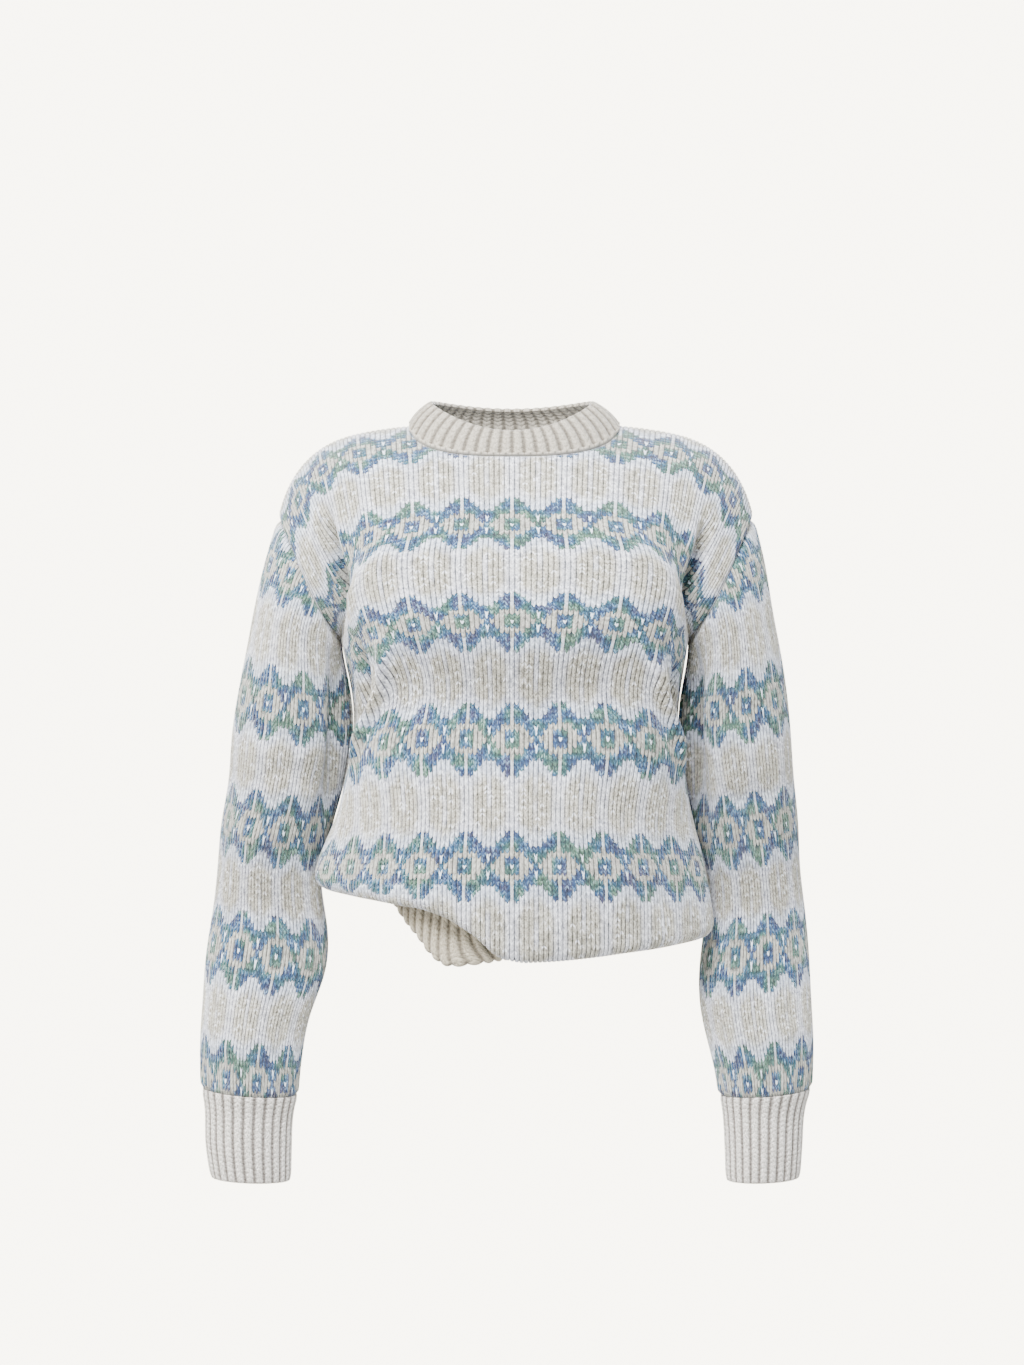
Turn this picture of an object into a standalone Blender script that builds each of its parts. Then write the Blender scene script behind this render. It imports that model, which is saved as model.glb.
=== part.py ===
"""Fair isle jumper, as worn: a drop-shoulder crew neck with a bloused, half-tucked hem.

The knitted cloth is a 3 mm wall. Front and back are one course-by-course loft, which runs up the
front, over the shoulders and down the back, and is parted at the shoulder and side seams. Sleeves
are lofts of tilted sections, and the armhole is where those sections start. Neckband, cuffs and
hem band are ribbed walls.

Lengths in the tables are millimetres. A stitch is counted from the centre line (the wearer's left
is +), and a row from the seam of the hem band upwards. +Z is up and -Y is the front. The origin
lies in the middle of the neck opening, at the height of the shoulders.
"""

import bpy
import numpy as np

MM = 0.001

# Knitting
WALL = 3.0  # thickness of the cloth
SEAM_GAP = 0.3  # space between two pieces at a seam
HALF_PANEL = 60.0  # stitches from the centre line to the side seam
NECK_HALF = 20.0  # stitches from the centre line to the shoulder end of the neck
RIBS_A_PANEL = 54  # ribs of the hem band across the front, and across the back
RIB_STITCHES = 2 * HALF_PANEL / RIBS_A_PANEL

# Rows that matter
SEAM_ROW = -8.0  # the body's lower edge, sewn to the hem band
UNDERARM_ROW = 76.0
SHOULDER_ROW = 125.0
FRONT_NECK_ROW = 108.0
BACK_NECK_ROW = 121.0
ALL_COURSES = 2 * SHOULDER_ROW  # up the front and down the back
SHAPED_ROW = 21.0  # below this row the hem table sets the height of the cloth
ROW_HEIGHT = 4.57
STITCH_WIDTH = 4.2
SIDE_SEAM_Y = 1.5

# Ribbing
RIB_HEIGHT = 1.6
NECK_RIBS = 46
CUFF_RIBS = 26

# Courses of the body: row by row up the front, over the shoulders, down the back. The centre is
# on the centre line, the turn is where the row leaves the chest, and the side is at the seam.
COURSES = (
    "course", "centre_y", "centre_z", "turn_stitch", "turn_right_x", "turn_left_x", "turn_y", "turn_z",
    "turn_heading", "turn_dip", "side_right_x", "side_left_x", "side_z", "side_heading", "side_dip",
)
BODY = (
    (0, -146, -440, 40, 147, 150, -69, -440, 55, 0, 178, 182, -440, 92, 0),
    (8, -148, -420, 40, 147, 149, -70, -428, 55, 0, 178, 181, -430, 92, 0),
    (17, -147, -382, 40, 146, 147, -70, -392, 55, 4, 177, 175, -400, 92, 2),
    (30, -141, -325, 38, 134, 137, -79, -338, 54, 10, 161, 164, -357, 91, 6),
    (42, -135, -269, 36, 132, 140, -84, -280, 60, 16, 148, 154, -315, 91, 10),
    (55, -138, -212, 34, 121, 132, -92, -226, 58, 20, 140, 147.5, -268, 90, 12),
    (67, -140, -157, 35, 135, 144, -92, -180, 70, 24, 144.5, 152, -224, 90, 8),
    (76, -133, -122.5, 36, 146, 153, -86, -152, 84, 32, 152, 157, -190, 90, 0),
    (84, -121, -97, 33, 140, 146, -92, -120, 76, 34, 158, 162, -160, 62, 40),
    (92, -104, -70.5, 30, 129, 134, -87, -85, 34, 22, 170, 174, -140, 14, 58),
    (100, -84, -42.5, 30, 132, 137, -70, -58, 16, 18, 180, 184, -120, 6, 66),
    (108, -60, -16.5, 30, 135, 140, -50, -34, 8, 14, 190, 194, -110, 5, 72),
    (117, -26, 0, 30, 138, 144, -24, -13.5, 3, 12, 195, 200, -100, 2, 76),
    (125, 25, 4, 30, 139, 146, 8, -3.5, 0, 12, 200, 205, -95, 0, 78),
    (129, 64, -6, 30, 139, 146, 26, -7, -5, 13, 200, 205, -95, -1, 78),
    (133, 76, -20, 30, 138, 145, 44, -16, -6, 14, 195, 200, -100, -2, 76),
    (142, 92, -56, 30, 134, 141, 66, -44, -12, 15, 190, 194, -110, -5, 72),
    (150, 103, -90, 30, 131, 138, 82, -76, -22, 16, 180, 184, -120, -10, 64),
    (158, 109, -124, 30, 131, 137, 88, -110, -42, 18, 170, 174, -140, -16, 52),
    (166, 112, -158, 33, 138, 145, 82, -145, -68, 16, 158, 162, -160, -60, 34),
    (174, 113, -190, 36, 146, 152, 72, -178, -84, 10, 152, 157, -190, -88, 10),
    (183, 112, -228, 36, 142, 150, 68, -224, -82, 4, 144.5, 152, -224, -90, 6),
    (195, 108, -275, 36, 137, 145, 66, -271, -78, 0, 140, 147.5, -268, -90, 4),
    (208, 105, -322, 36, 139, 145, 64, -320, -70, 0, 148, 154, -315, -91, 2),
    (220, 108, -366, 38, 143, 146, 66, -362, -62, 0, 161, 164, -357, -91, 2),
    (233, 116, -410, 40, 150, 150, 62, -404, -57, 0, 177, 175, -400, -92, 2),
    (242, 118, -430, 40, 151, 153, 62, -430, -55, 0, 178, 181, -430, -92, 0),
    (250, 116, -440, 40, 150, 153, 61, -440, -55, 0, 178, 182, -440, -92, 0),
)

# The bloused lower edge. At each stitch it gives the height and the row of the lowest point, the
# outer radius of the fold there, and how much cloth is turned up before the hem band begins.
HEM = ("stitch", "edge_z", "edge_row", "radius", "turned_up")
FRONT_HEM = (
    (-60, -411, 13.2, 11, 44),
    (-46, -412, 11.7, 11, 38),
    (-33, -413, 10.3, 10, 22),
    (-20, -416, 8.6, 8, 15),
    (-14, -423, 7.0, 8, 15),
    (-8, -438, 3.7, 8, 15),
    (-3, -458, -0.5, 9, 18),
    (2, -463, -2.2, 11, 26),
    (10, -462, -1.9, 11, 30),
    (26, -458, -0.4, 11, 30),
    (42, -457, 1.4, 11, 30),
    (52, -456, 2.6, 11, 30),
    (60, -455, 3.6, 11, 30),
)
BACK_HEM = (
    (-60, -411, 13.2, 11, 44),
    (-46, -418, 12.2, 11, 43),
    (-33, -429, 10.8, 11, 40),
    (-20, -441, 8.8, 11, 36),
    (0, -452, 6.9, 11, 33),
    (30, -456, 5.1, 11, 31),
    (60, -455, 3.6, 11, 30),
)

# Sleeve sections, from the top of the cap to the cuff seam: a tilted oval at each height.
SLEEVE_SECTIONS = (
    "centre_z", "right_outer", "right_inner", "left_outer", "left_inner", "tilt", "front_y", "back_y",
)
SLEEVE = (
    (-99, 210, 122, 217, 128, 24, -52, 54),
    (-135, 222, 138, 227, 146, 20, -58, 60),
    (-170, 231, 152.5, 233.5, 158, 16, -58, 61),
    (-205, 238, 150, 240.5, 157, 12, -55, 62),
    (-245, 246, 144, 247, 151, 9, -50, 67),
    (-285, 252, 146, 251, 153, 8, -43, 73),
    (-325, 255.5, 155, 254, 159.5, 8, -32, 82),
    (-365, 262.5, 166, 258, 166.5, 8, -18, 90),
    (-405, 266, 173, 260, 174.5, 8, -8, 96),
    (-445, 270, 168, 264.5, 174.5, 8, -9, 92),
    (-485, 276, 169.5, 268, 170, 8, -21, 78),
    (-525, 279, 183, 270, 172, 7, -33, 61),
    (-565, 281, 190.5, 271.5, 181.5, 6, -39, 48),
    (-598, 279, 194.5, 269, 188, 4, -39, 43),
)
CAP_TOP_Z = -99.0  # section height at the top of the armhole
CAP_UNDER_Z = -176.0  # section height at the underarm

# Cuff sections, from the sleeve seam to the open end.
CUFF = (
    (-598.4, 279, 194.5, 269, 189, 4, -39, 43),
    (-607, 277, 197, 265.5, 190.5, 3, -36, 40),
    (-640, 275.5, 200.5, 261, 193.5, 2, -34, 37),
    (-678, 270.5, 201.5, 258.5, 195, 2, -32, 34),
)

# Top edge of the neckband: half width, depths and heights of its oval.
NECK_TOP_HALF = 72.0
NECK_TOP_FRONT_Y = -48.0
NECK_TOP_BACK_Y = 54.0
NECK_TOP_FRONT_Z = 5.5
NECK_TOP_SIDE_Z = 26.0
NECK_TOP_BACK_Z = 15.0
NECK_BULGE = 2.5  # how far the neckband rounds outwards between its edges

# The hem band, which hangs from its seam inside the blouse and turns under at the bottom: how far
# its lowest point is below the edge of the blouse, and the sideways pull of its ribs.
BAND = ("stitch", "drop", "pull")
BAND_HANG = (
    (-60, -4, 0),
    (-38, -4, 0),
    (-33, 0, 1),
    (-28.5, 10, 5),
    (-24.5, 19, 9),
    (-19.4, 29, 14),
    (-15.2, 38, 19),
    (-12, 40, 20),
    (-9, 33, 18),
    (-6.8, 24, 10),
    (-4.5, 11, 3),
    (-2, 2, 0),
    (2, -2, 0),
    (8, -4, 0),
    (60, -4, 0),
)
BAND_WIDTH = 62.0

# Spacing of the points
ARMHOLE_STEPS = 11  # along each half of an armhole
SLEEVE_LEVEL_Z = -235.0  # below this section the sleeve's rows of points are level

# Colours
KNIT = (0.62, 0.61, 0.60)
RIB = (0.60, 0.57, 0.53)


def spline(xs, ys, x):
    """Natural cubic spline through the points, held level beyond its ends."""
    order = np.argsort(xs)
    xs = np.asarray(xs, float)[order]
    ys = np.asarray(ys, float)[order]
    x = np.clip(np.asarray(x, float), xs[0], xs[-1])
    step = np.diff(xs)
    slope = np.diff(ys) / step
    count = len(xs)
    matrix = np.eye(count)
    right = np.zeros(count)
    for i in range(1, count - 1):
        matrix[i, i - 1 : i + 2] = step[i - 1], 2 * (step[i - 1] + step[i]), step[i]
        right[i] = 6 * (slope[i] - slope[i - 1])
    bend = np.linalg.solve(matrix, right)
    k = np.clip(np.searchsorted(xs, x, side="right") - 1, 0, count - 2)
    a = (xs[k + 1] - x) / step[k]
    b = 1 - a
    curved = ((a**3 - a) * bend[k] + (b**3 - b) * bend[k + 1]) * step[k] ** 2 / 6
    return a * ys[k] + b * ys[k + 1] + curved


def read(columns, table, name, at):
    """A column of a table, read between its rows by a spline over the first column."""
    rows = np.array(table, float)
    return spline(rows[:, 0], rows[:, columns.index(name)], at)


def eased(columns, table, name, at):
    """The same without overshoot: straight between the rows, then smoothed."""
    rows = np.array(table, float)
    at = np.asarray(at, float)
    shifts = np.linspace(-1.5, 1.5, 7)
    shifted = np.clip(at[..., None] + shifts, rows[0, 0], rows[-1, 0])
    return np.interp(shifted, rows[:, 0], rows[:, columns.index(name)]).mean(axis=-1)


def side_name(side):
    """The wearer's right is at -X, and the left at +X."""
    return "right" if side < 0 else "left"


def unit(vector):
    return vector / np.maximum(np.linalg.norm(vector, axis=-1, keepdims=True), 1e-9)


def lifted(height):
    """Vectors straight up by the given heights."""
    return np.stack([np.zeros_like(height), np.zeros_like(height), height], axis=-1)


def travelled(points):
    """Distance along a polyline at each of its points."""
    return np.concatenate([[0], np.cumsum(np.linalg.norm(np.diff(points, axis=0), axis=1))])


def along(points, share):
    """Points at the given shares of a polyline's length."""
    distance = travelled(points)
    wanted = np.asarray(share, float) * distance[-1]
    return np.stack([np.interp(wanted, distance, column) for column in points.T], axis=-1)


# ---------------------------------------------------------------- sleeves and armholes


def tube(table, side, angle, height, inset=0.0):
    """Point of a sleeve or cuff. Angle 0 is outside, 90 degrees in front, 180 at the body."""
    angle, height = np.broadcast_arrays(np.asarray(angle, float), np.asarray(height, float))
    outer = read(SLEEVE_SECTIONS, table, side_name(side) + "_outer", height)
    inner = read(SLEEVE_SECTIONS, table, side_name(side) + "_inner", height)
    tilt = np.radians(read(SLEEVE_SECTIONS, table, "tilt", height))
    front = read(SLEEVE_SECTIONS, table, "front_y", height)
    back = read(SLEEVE_SECTIONS, table, "back_y", height)
    half = (outer - inner) / 2 - inset
    deep = (back - front) / 2 - inset
    x = side * ((outer + inner) / 2 + half * np.cos(angle))
    y = (front + back) / 2 - deep * np.sin(angle)
    z = height + half * np.tan(tilt) * np.cos(angle)
    return np.stack([x, y, z], axis=-1)


def cap_height(angle):
    """Section height at which the sleeve begins, around the armhole."""
    return CAP_TOP_Z + (CAP_UNDER_Z - CAP_TOP_Z) * (1 - np.cos(angle)) / 2


def armhole_angles(share):
    """Angles round the sleeve at shares of the armhole, from the underarm up the front."""
    angles = np.linspace(np.pi, 0, 181)
    distance = travelled(tube(SLEEVE, 1, angles, cap_height(angles)))
    return np.interp(np.asarray(share, float) * distance[-1], distance, angles)


def armhole(side, course):
    """Point of the armhole for a course of the body: up the front half, then down the back."""
    share = (min(course, ALL_COURSES - course) - UNDERARM_ROW) / (SHOULDER_ROW - UNDERARM_ROW)
    angle = armhole_angles(share) * (1 if course <= SHOULDER_ROW else -1)
    return tube(SLEEVE, side, angle, cap_height(angle))


def armhole_frame(side, angle):
    """Armhole points, the way along the cloth into the sleeve, and the direction out of it.

    At the underarm the cloth turns over from the body into the sleeve, so there it faces down.
    """
    step = 0.02
    loop = tube(SLEEVE, side, angle, cap_height(angle))
    ahead = tube(SLEEVE, side, angle + step, cap_height(angle + step))
    behind = tube(SLEEVE, side, angle - step, cap_height(angle - step))
    down = tube(SLEEVE, side, angle, cap_height(angle) - 1) - loop
    around = unit(ahead - behind)
    outward = unit(np.cross(around, down)) * side
    under = ((1 - np.cos(angle)) / 2)[:, None] ** 3
    outward = outward * (1 - under) - np.array([0, 0, 1]) * under
    outward = unit(outward - around * (outward * around).sum(axis=-1, keepdims=True))
    away = unit(np.cross(outward, around)) * side
    return loop, away, outward


# ---------------------------------------------------------------- body


def heading(side, turn, dip):
    """Unit direction of a row. Turn 0 is sideways and 90 is backwards, dip is downwards."""
    turn = np.radians(turn)
    dip = np.radians(dip)
    return np.array([side * np.cos(turn) * np.cos(dip), np.sin(turn) * np.cos(dip), -np.sin(dip)])


def bezier(start, start_handle, end_handle, end, steps):
    t = np.linspace(0, 1, steps)[:, None]
    s = 1 - t
    return s**3 * start + 3 * s * s * t * start_handle + 3 * s * t * t * end_handle + t**3 * end


def half_row(side, course, stitches):
    """Points of one course from the centre line out to the side seam or armhole."""
    value = {name: float(read(COURSES, BODY, name, course)) for name in COURSES[1:]}
    name = side_name(side)
    centre = np.array([0.0, value["centre_y"], value["centre_z"]])
    turn = np.array([side * value["turn_" + name + "_x"], value["turn_y"], value["turn_z"]])
    if UNDERARM_ROW <= course <= ALL_COURSES - UNDERARM_ROW:
        end = armhole(side, course)
    else:
        front_course = min(course, ALL_COURSES - course)
        side_x = float(read(COURSES, BODY, "side_" + name + "_x", front_course))
        end = np.array([side * side_x, SIDE_SEAM_Y, float(read(COURSES, BODY, "side_z", front_course))])
    outwards = heading(side, 0.0, 0.0)
    turning = heading(side, value["turn_heading"], value["turn_dip"])
    ending = heading(side, value["side_heading"], value["side_dip"])
    reach = np.linalg.norm(turn - centre) * 0.36
    inner = bezier(centre, centre + reach * outwards, turn - reach * turning, turn, 25)
    reach = np.linalg.norm(end - turn) * 0.40
    outer = bezier(turn, turn + reach * turning, end - reach * ending, end, 25)
    shares = stitches / value["turn_stitch"]
    outer_shares = (stitches - value["turn_stitch"]) / (HALF_PANEL - value["turn_stitch"])
    first = along(inner, np.clip(shares, 0, 1))
    second = along(outer, np.clip(outer_shares, 0, 1))
    return np.where((shares <= 1)[:, None], first, second)


def body_grid():
    """Outer surface of the body, a row of points a course, before its lower edge is shaped."""
    half = np.linspace(0, HALF_PANEL, 61)
    rows = []
    for course in np.linspace(0, ALL_COURSES, 251):
        right = half_row(-1, course, half)
        left = half_row(1, course, half)
        rows.append(np.concatenate([right[:0:-1], left]))
    grid = np.array(rows)
    for _ in range(2):
        grid[:, 1:-1] = (grid[:, :-2] + 2 * grid[:, 1:-1] + grid[:, 2:]) / 4
    return grid


def beyond(grid, i, j):
    """A grid point, carried on in a straight line one step beyond each edge."""
    ci = np.clip(i, 0, grid.shape[0] - 1)
    cj = np.clip(j, 0, grid.shape[1] - 1)
    return 2 * grid[ci, cj] - grid[2 * ci - i, 2 * cj - j]


def on_grid(grid, course, stitch):
    """Grid points at any course and stitch, by cubic blending of the points around them."""
    v = np.clip(course, 0, ALL_COURSES)
    u = np.clip(stitch + HALF_PANEL, 0, 2 * HALF_PANEL)
    i = np.clip(v.astype(int), 0, grid.shape[0] - 2)
    j = np.clip(u.astype(int), 0, grid.shape[1] - 2)

    def weights(f):
        return (
            (-f + 2 * f**2 - f**3) / 2,
            (2 - 5 * f**2 + 3 * f**3) / 2,
            (f + 4 * f**2 - 3 * f**3) / 2,
            (-(f**2) + f**3) / 2,
        )

    total = 0
    for a, row_weight in enumerate(weights(v - i)):
        for b, column_weight in enumerate(weights(u - j)):
            total = total + (row_weight * column_weight)[..., None] * beyond(grid, i + a - 1, j + b - 1)
    return total


BODY_GRID = body_grid()


def inward(point):
    """Level direction from the outside of the blouse towards its middle."""
    x = -point[..., 0] / 178**2
    y = -(point[..., 1] + 10) / 136**2
    return unit(np.stack([x, y, np.zeros_like(x)], axis=-1))


def lean(point):
    """How far cloth turned up inside leans inwards, as the blouse narrows above it."""
    return 0.18 + 0.24 * (point[..., 0] / 178) ** 2


def hem_values(back, stitch):
    """Radius of the fold, the row and height where it starts, and the length of cloth below."""
    table = BACK_HEM if back else FRONT_HEM
    radius = eased(HEM, table, "radius", stitch)
    quarter = radius * np.pi / 2
    row = eased(HEM, table, "edge_row", stitch) + quarter / ROW_HEIGHT
    height = eased(HEM, table, "edge_z", stitch) + radius
    length = quarter + eased(HEM, table, "turned_up", stitch)
    return radius, row, height, length


def body_point(back, row, stitch):
    """Point of the cloth's outer face, at a row and stitch of the front or the back."""
    row, stitch = np.broadcast_arrays(np.asarray(row, float), np.asarray(stitch, float))
    radius, start_row, start_z, length = hem_values(back, stitch)
    above = np.maximum(row, start_row)
    point = on_grid(BODY_GRID, ALL_COURSES - above if back else above, stitch)
    shaped = np.full_like(stitch, ALL_COURSES - SHAPED_ROW if back else SHAPED_ROW)
    shaped_z = on_grid(BODY_GRID, shaped, stitch)[..., 2]
    share = np.clip((SHAPED_ROW - above) / (SHAPED_ROW - start_row), 0, 1)
    point[..., 2] = np.where(above < SHAPED_ROW, shaped_z + (start_z - shaped_z) * share, point[..., 2])
    rolled = np.clip((start_row - row) / (start_row - SEAM_ROW), 0, 1) * length
    angle = np.minimum(rolled / radius, np.pi)
    upright = np.maximum(rolled - np.pi * radius, 0)
    inset = radius * (1 - np.cos(angle)) + lean(point) * upright
    return point + inset[..., None] * inward(point) + lifted(upright - radius * np.sin(angle))


def neck_row(back, stitch):
    """Row of the neck edge across the neck opening, and of the shoulder seam beyond it."""
    low = BACK_NECK_ROW if back else FRONT_NECK_ROW
    share = np.clip(np.abs(stitch) / NECK_HALF, 0, 1)
    return low + (SHOULDER_ROW - low) * (1 - (1 - share**2.5) ** 0.4)


def surface_normal(place, along_v, along_u, step=0.4):
    """Direction across the surface place(v, u), to the left of v when seen along u."""
    up = place(along_v + step, along_u) - place(along_v - step, along_u)
    across = place(along_v, along_u + step) - place(along_v, along_u - step)
    return unit(np.cross(across, up))


def panel_columns(back):
    """Stitches at which a panel has a column of points, each in a furrow of the hem band."""
    half = RIBS_A_PANEL // 2
    if back:
        ribs = set(range(-half, half + 1, 2)) | {-8, 8}
    else:
        ribs = {3, 6, 7, 8, 9, 11, *range(13, 24), 25, half}
        ribs |= {-rib for rib in ribs} | set(range(-6, 2))
    return np.array(sorted(ribs)) * RIB_STITCHES


def panel_rows(back, stitch):
    """Rows of points of one column, from the hem seam to the shoulder or neck."""
    start = float(hem_values(back, np.array(stitch))[1])
    top = float(neck_row(back, stitch))
    rolled = np.linspace(SEAM_ROW, start, 5)[:-1]
    shaped = np.linspace(start, SHAPED_ROW + 2, 3)[:-1]
    straight = np.linspace(SHAPED_ROW + 2, UNDERARM_ROW, 7)[:-1]
    beside_armhole = np.linspace(UNDERARM_ROW, top, ARMHOLE_STEPS + 1)
    return np.concatenate([rolled, shaped, straight, beside_armhole])


def panel(back):
    """Stitches, outer points and directions out of the cloth, for the front or the back."""
    columns = panel_columns(back)

    def place(row, stitch):
        return body_point(back, row, stitch)

    outer = []
    normals = []
    for stitch in columns:
        rows = panel_rows(back, stitch)
        near = np.full_like(rows, np.clip(stitch, -HALF_PANEL + 0.5, HALF_PANEL - 0.5))
        outer.append(place(rows, np.full_like(rows, stitch)))
        direction = surface_normal(place, np.maximum(rows, SEAM_ROW + 0.4), near)
        normals.append(-direction if back else direction)
    outer = np.array(outer).transpose(1, 0, 2)
    normals = np.array(normals).transpose(1, 0, 2)

    facing = 1 if back else -1
    first = len(outer) - ARMHOLE_STEPS - 1
    for side, edge in ((-1, 0), (1, -1)):
        angle = armhole_angles(np.linspace(0, 1, ARMHOLE_STEPS + 1)) * -facing
        loop, away, outward = armhole_frame(side, angle)
        outer[first:, edge] = loop - away * SEAM_GAP / 2
        normals[first:, edge] = outward
        normals[:first, edge, 1] = 0
        normals[:first, edge] = unit(normals[:first, edge])
        outer[:first, edge, 1] = SIDE_SEAM_Y
        outer[: first + 1, edge, 1] += facing * SEAM_GAP / 2
    shoulder = np.abs(columns) > NECK_HALF - 0.1
    outer[-1, shoulder, 1] += facing * SEAM_GAP / 2
    normals[-1, shoulder, 1] = 0
    shared = np.isin(np.round(columns / RIB_STITCHES), np.round(panel_columns(True) / RIB_STITCHES))
    for number in np.flatnonzero(shoulder & ~shared):
        for values in (outer, normals):
            values[-1, number] = (values[-1, number - 1] + values[-1, number + 1]) / 2
    normals[-1, shoulder] = unit(normals[-1, shoulder])
    return columns, outer, normals


# ---------------------------------------------------------------- ribbed pieces


def panel_edge(panels, number, stitches, back):
    """Outer points and directions on a panel's first or last row, on its straight edges."""
    own = panels[back]
    other = panels[not back]
    result = []
    for index in (1, 2):
        values = own[index][number].copy()
        for column, stitch in enumerate(own[0]):
            same = np.flatnonzero(np.isclose(other[0], stitch))
            joined = abs(stitch) > HALF_PANEL - 0.1 if number == 0 else abs(abs(stitch) - NECK_HALF) < 0.1
            if joined:
                values[column] = (values[column] + other[index][number][same[0]]) / 2
        result.append(np.stack([np.interp(stitches, own[0], v) for v in values.T], axis=-1))
    return result[0], unit(result[1])


def ribbed(base, normals, height):
    """Outer points of a ribbed ring, two a rib, and the plain inner points behind its furrows."""
    raised = np.zeros(base.shape[:2])
    raised[:, 1::2] = np.asarray(height)[:, None]
    outer = base + normals * raised[..., None]
    inner = (base - normals * WALL)[:, ::2]
    return outer, inner


def ring_normals(base, outward):
    """Directions out of a ring of points, rows by points around, roughly the given way."""
    around = np.roll(base, -1, axis=1) - np.roll(base, 1, axis=1)
    up = np.gradient(base, axis=0)
    normals = unit(np.cross(around, up))
    return normals * np.sign((normals * outward).sum(axis=-1, keepdims=True))


def neck_seam(panels):
    """The neck edge as a closed loop from the centre front, with its directions."""
    points = []
    directions = []
    for back in (False, True):
        stitches = panels[back][0]
        stitches = stitches[np.abs(stitches) < NECK_HALF + 0.1]
        point, direction = panel_edge(panels, -1, stitches, back)
        points.append(point[::-1] if back else point)
        directions.append(direction[::-1] if back else direction)
    joined = [np.concatenate([pair[0][:-1], pair[1]]) for pair in (points, directions)]
    return joined


def neck_ring(panels):
    """Rows of points of the neckband's furrow surface, and the directions out of it."""
    seam, seam_normals = neck_seam(panels)
    start = travelled(seam)
    centre_front = np.interp(0, seam[: len(seam) // 2, 0], start[: len(seam) // 2])
    around = 2 * NECK_RIBS
    wanted = (centre_front + np.arange(around) / around * start[-1]) % start[-1]
    low = np.stack([np.interp(wanted, start, column) for column in seam.T], axis=-1)
    low_normals = unit(np.stack([np.interp(wanted, start, column) for column in seam_normals.T], axis=-1))

    turn = np.linspace(0, 2 * np.pi, 361)
    facing = np.cos(turn)
    y = np.where(facing > 0, NECK_TOP_FRONT_Y, NECK_TOP_BACK_Y) * np.abs(facing)
    end_z = np.where(facing > 0, NECK_TOP_FRONT_Z, NECK_TOP_BACK_Z)
    z = NECK_TOP_SIDE_Z + (end_z - NECK_TOP_SIDE_Z) * facing**2
    top = along(np.stack([NECK_TOP_HALF * np.sin(turn), y, z], axis=-1), np.arange(around) / around)

    way = unit(top - low)
    low = low + way * 2 * SEAM_GAP
    outward = unit(low * np.array([1, 1, 0]) - np.array([0, 5, 0])) + np.array([0, 0, 0.6])
    rows = []
    for share in (0, 0.12, 0.5, 0.88, 1):
        bulge = NECK_BULGE * np.sin(np.pi * share)
        rows.append(low + (top - low) * share + unit(outward) * bulge)
    base = np.array(rows)
    normals = ring_normals(base, outward)
    normals[0] = low_normals
    return base, normals


def band_way(behind, top, drop):
    """Way of the hem band from its seam, as inset from the blouse and height above its edge."""
    return np.array([
        (behind, top),
        (behind + 1, top + 3.5),
        (behind + 4.5, top + 5),
        (behind + 8, top + 2.5),
        (behind + 8.5, (top + 7 - drop) / 2),
        (behind + 7, 5 - drop),
        (behind + 8.5, 0.9 - drop),
        (behind + 12, -drop),
        (behind + 15.5, 2.5 - drop),
        (behind + 17, 8 - drop),
        (behind + 22, 60 - drop),
    ])


def band_points(back, stitch):
    """Outer points of the hem band down one rib, closer together round its folds."""
    radius, start_row, start_z, length = hem_values(back, np.array(float(stitch)))
    drop = 0.0
    pull = 0.0
    if back:
        drop = BAND_HANG[0][1]
    else:
        drop = float(eased(BAND, BAND_HANG, "drop", stitch))
        pull = float(eased(BAND, BAND_HANG, "pull", stitch))
    upright = float(length - np.pi * radius)
    start = body_point(back, start_row, stitch)
    behind = float(2 * radius + lean(start) * upright)
    way = band_way(behind, float(radius) + upright, drop)
    steps = travelled(way)
    low = steps[5]
    end = max(BAND_WIDTH, low + 15)
    distance = np.array([4, 8.5, 13, low, low + 5, low + 10.5, end])
    inset = spline(steps, way[:, 0], distance)
    height = spline(steps, way[:, 1], distance) + start_z - radius
    pulled = np.clip(distance / low, 0, 1) * pull / STITCH_WIDTH
    base = body_point(back, start_row, stitch - pulled)
    base = base + inset[:, None] * inward(base)
    return np.stack([base[:, 0], base[:, 1], height], axis=-1)


def band_ring(panels):
    """Rows of points of the hem band's furrow surface, and the directions out of it."""
    half = RIBS_A_PANEL // 2
    places = [(False, k / 2 * RIB_STITCHES) for k in range(-2 * half, 2 * half)]
    places += [(True, -k / 2 * RIB_STITCHES) for k in range(-2 * half, 2 * half)]
    columns = []
    directions = []
    for back, stitch in places:
        point, direction = panel_edge(panels, 0, np.array([stitch]), back)
        hanging = band_points(back, stitch)
        way = unit(hanging[0] - point[0])
        columns.append(np.concatenate([point + way * 2 * SEAM_GAP, hanging]))
        directions.append(direction[0])
    base = np.array(columns).transpose(1, 0, 2)
    around = np.roll(base, -1, axis=1) - np.roll(base, 1, axis=1)
    normals = unit(np.cross(np.gradient(base, axis=0), around))
    normals[0] = np.array(directions)
    return base, normals


# ---------------------------------------------------------------- meshes


def grid_faces(rows, count, first, closed, turned):
    """Faces of a grid of points, a row after another."""
    faces = []
    for v in range(rows - 1):
        for u in range(count if closed else count - 1):
            w = (u + 1) % count
            low = first + v * count
            face = [low + u, low + w, low + count + w, low + count + u]
            faces.append(face[::-1] if turned else face)
    return faces


def rim_faces(points, outside, inside):
    """Faces between two steps of the outer and inner edge, split from their lower end."""
    if len(outside) == 3:
        a, middle, b = outside
        return [[middle, a, inside[0]], [b, middle, inside[1]], [middle, inside[0], inside[1]]]
    a, b = outside
    if points[a][2] < points[b][2]:
        return [[b, a, inside[1]], [a, inside[0], inside[1]]]
    return [[b, a, inside[0]], [b, inside[0], inside[1]]]


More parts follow.
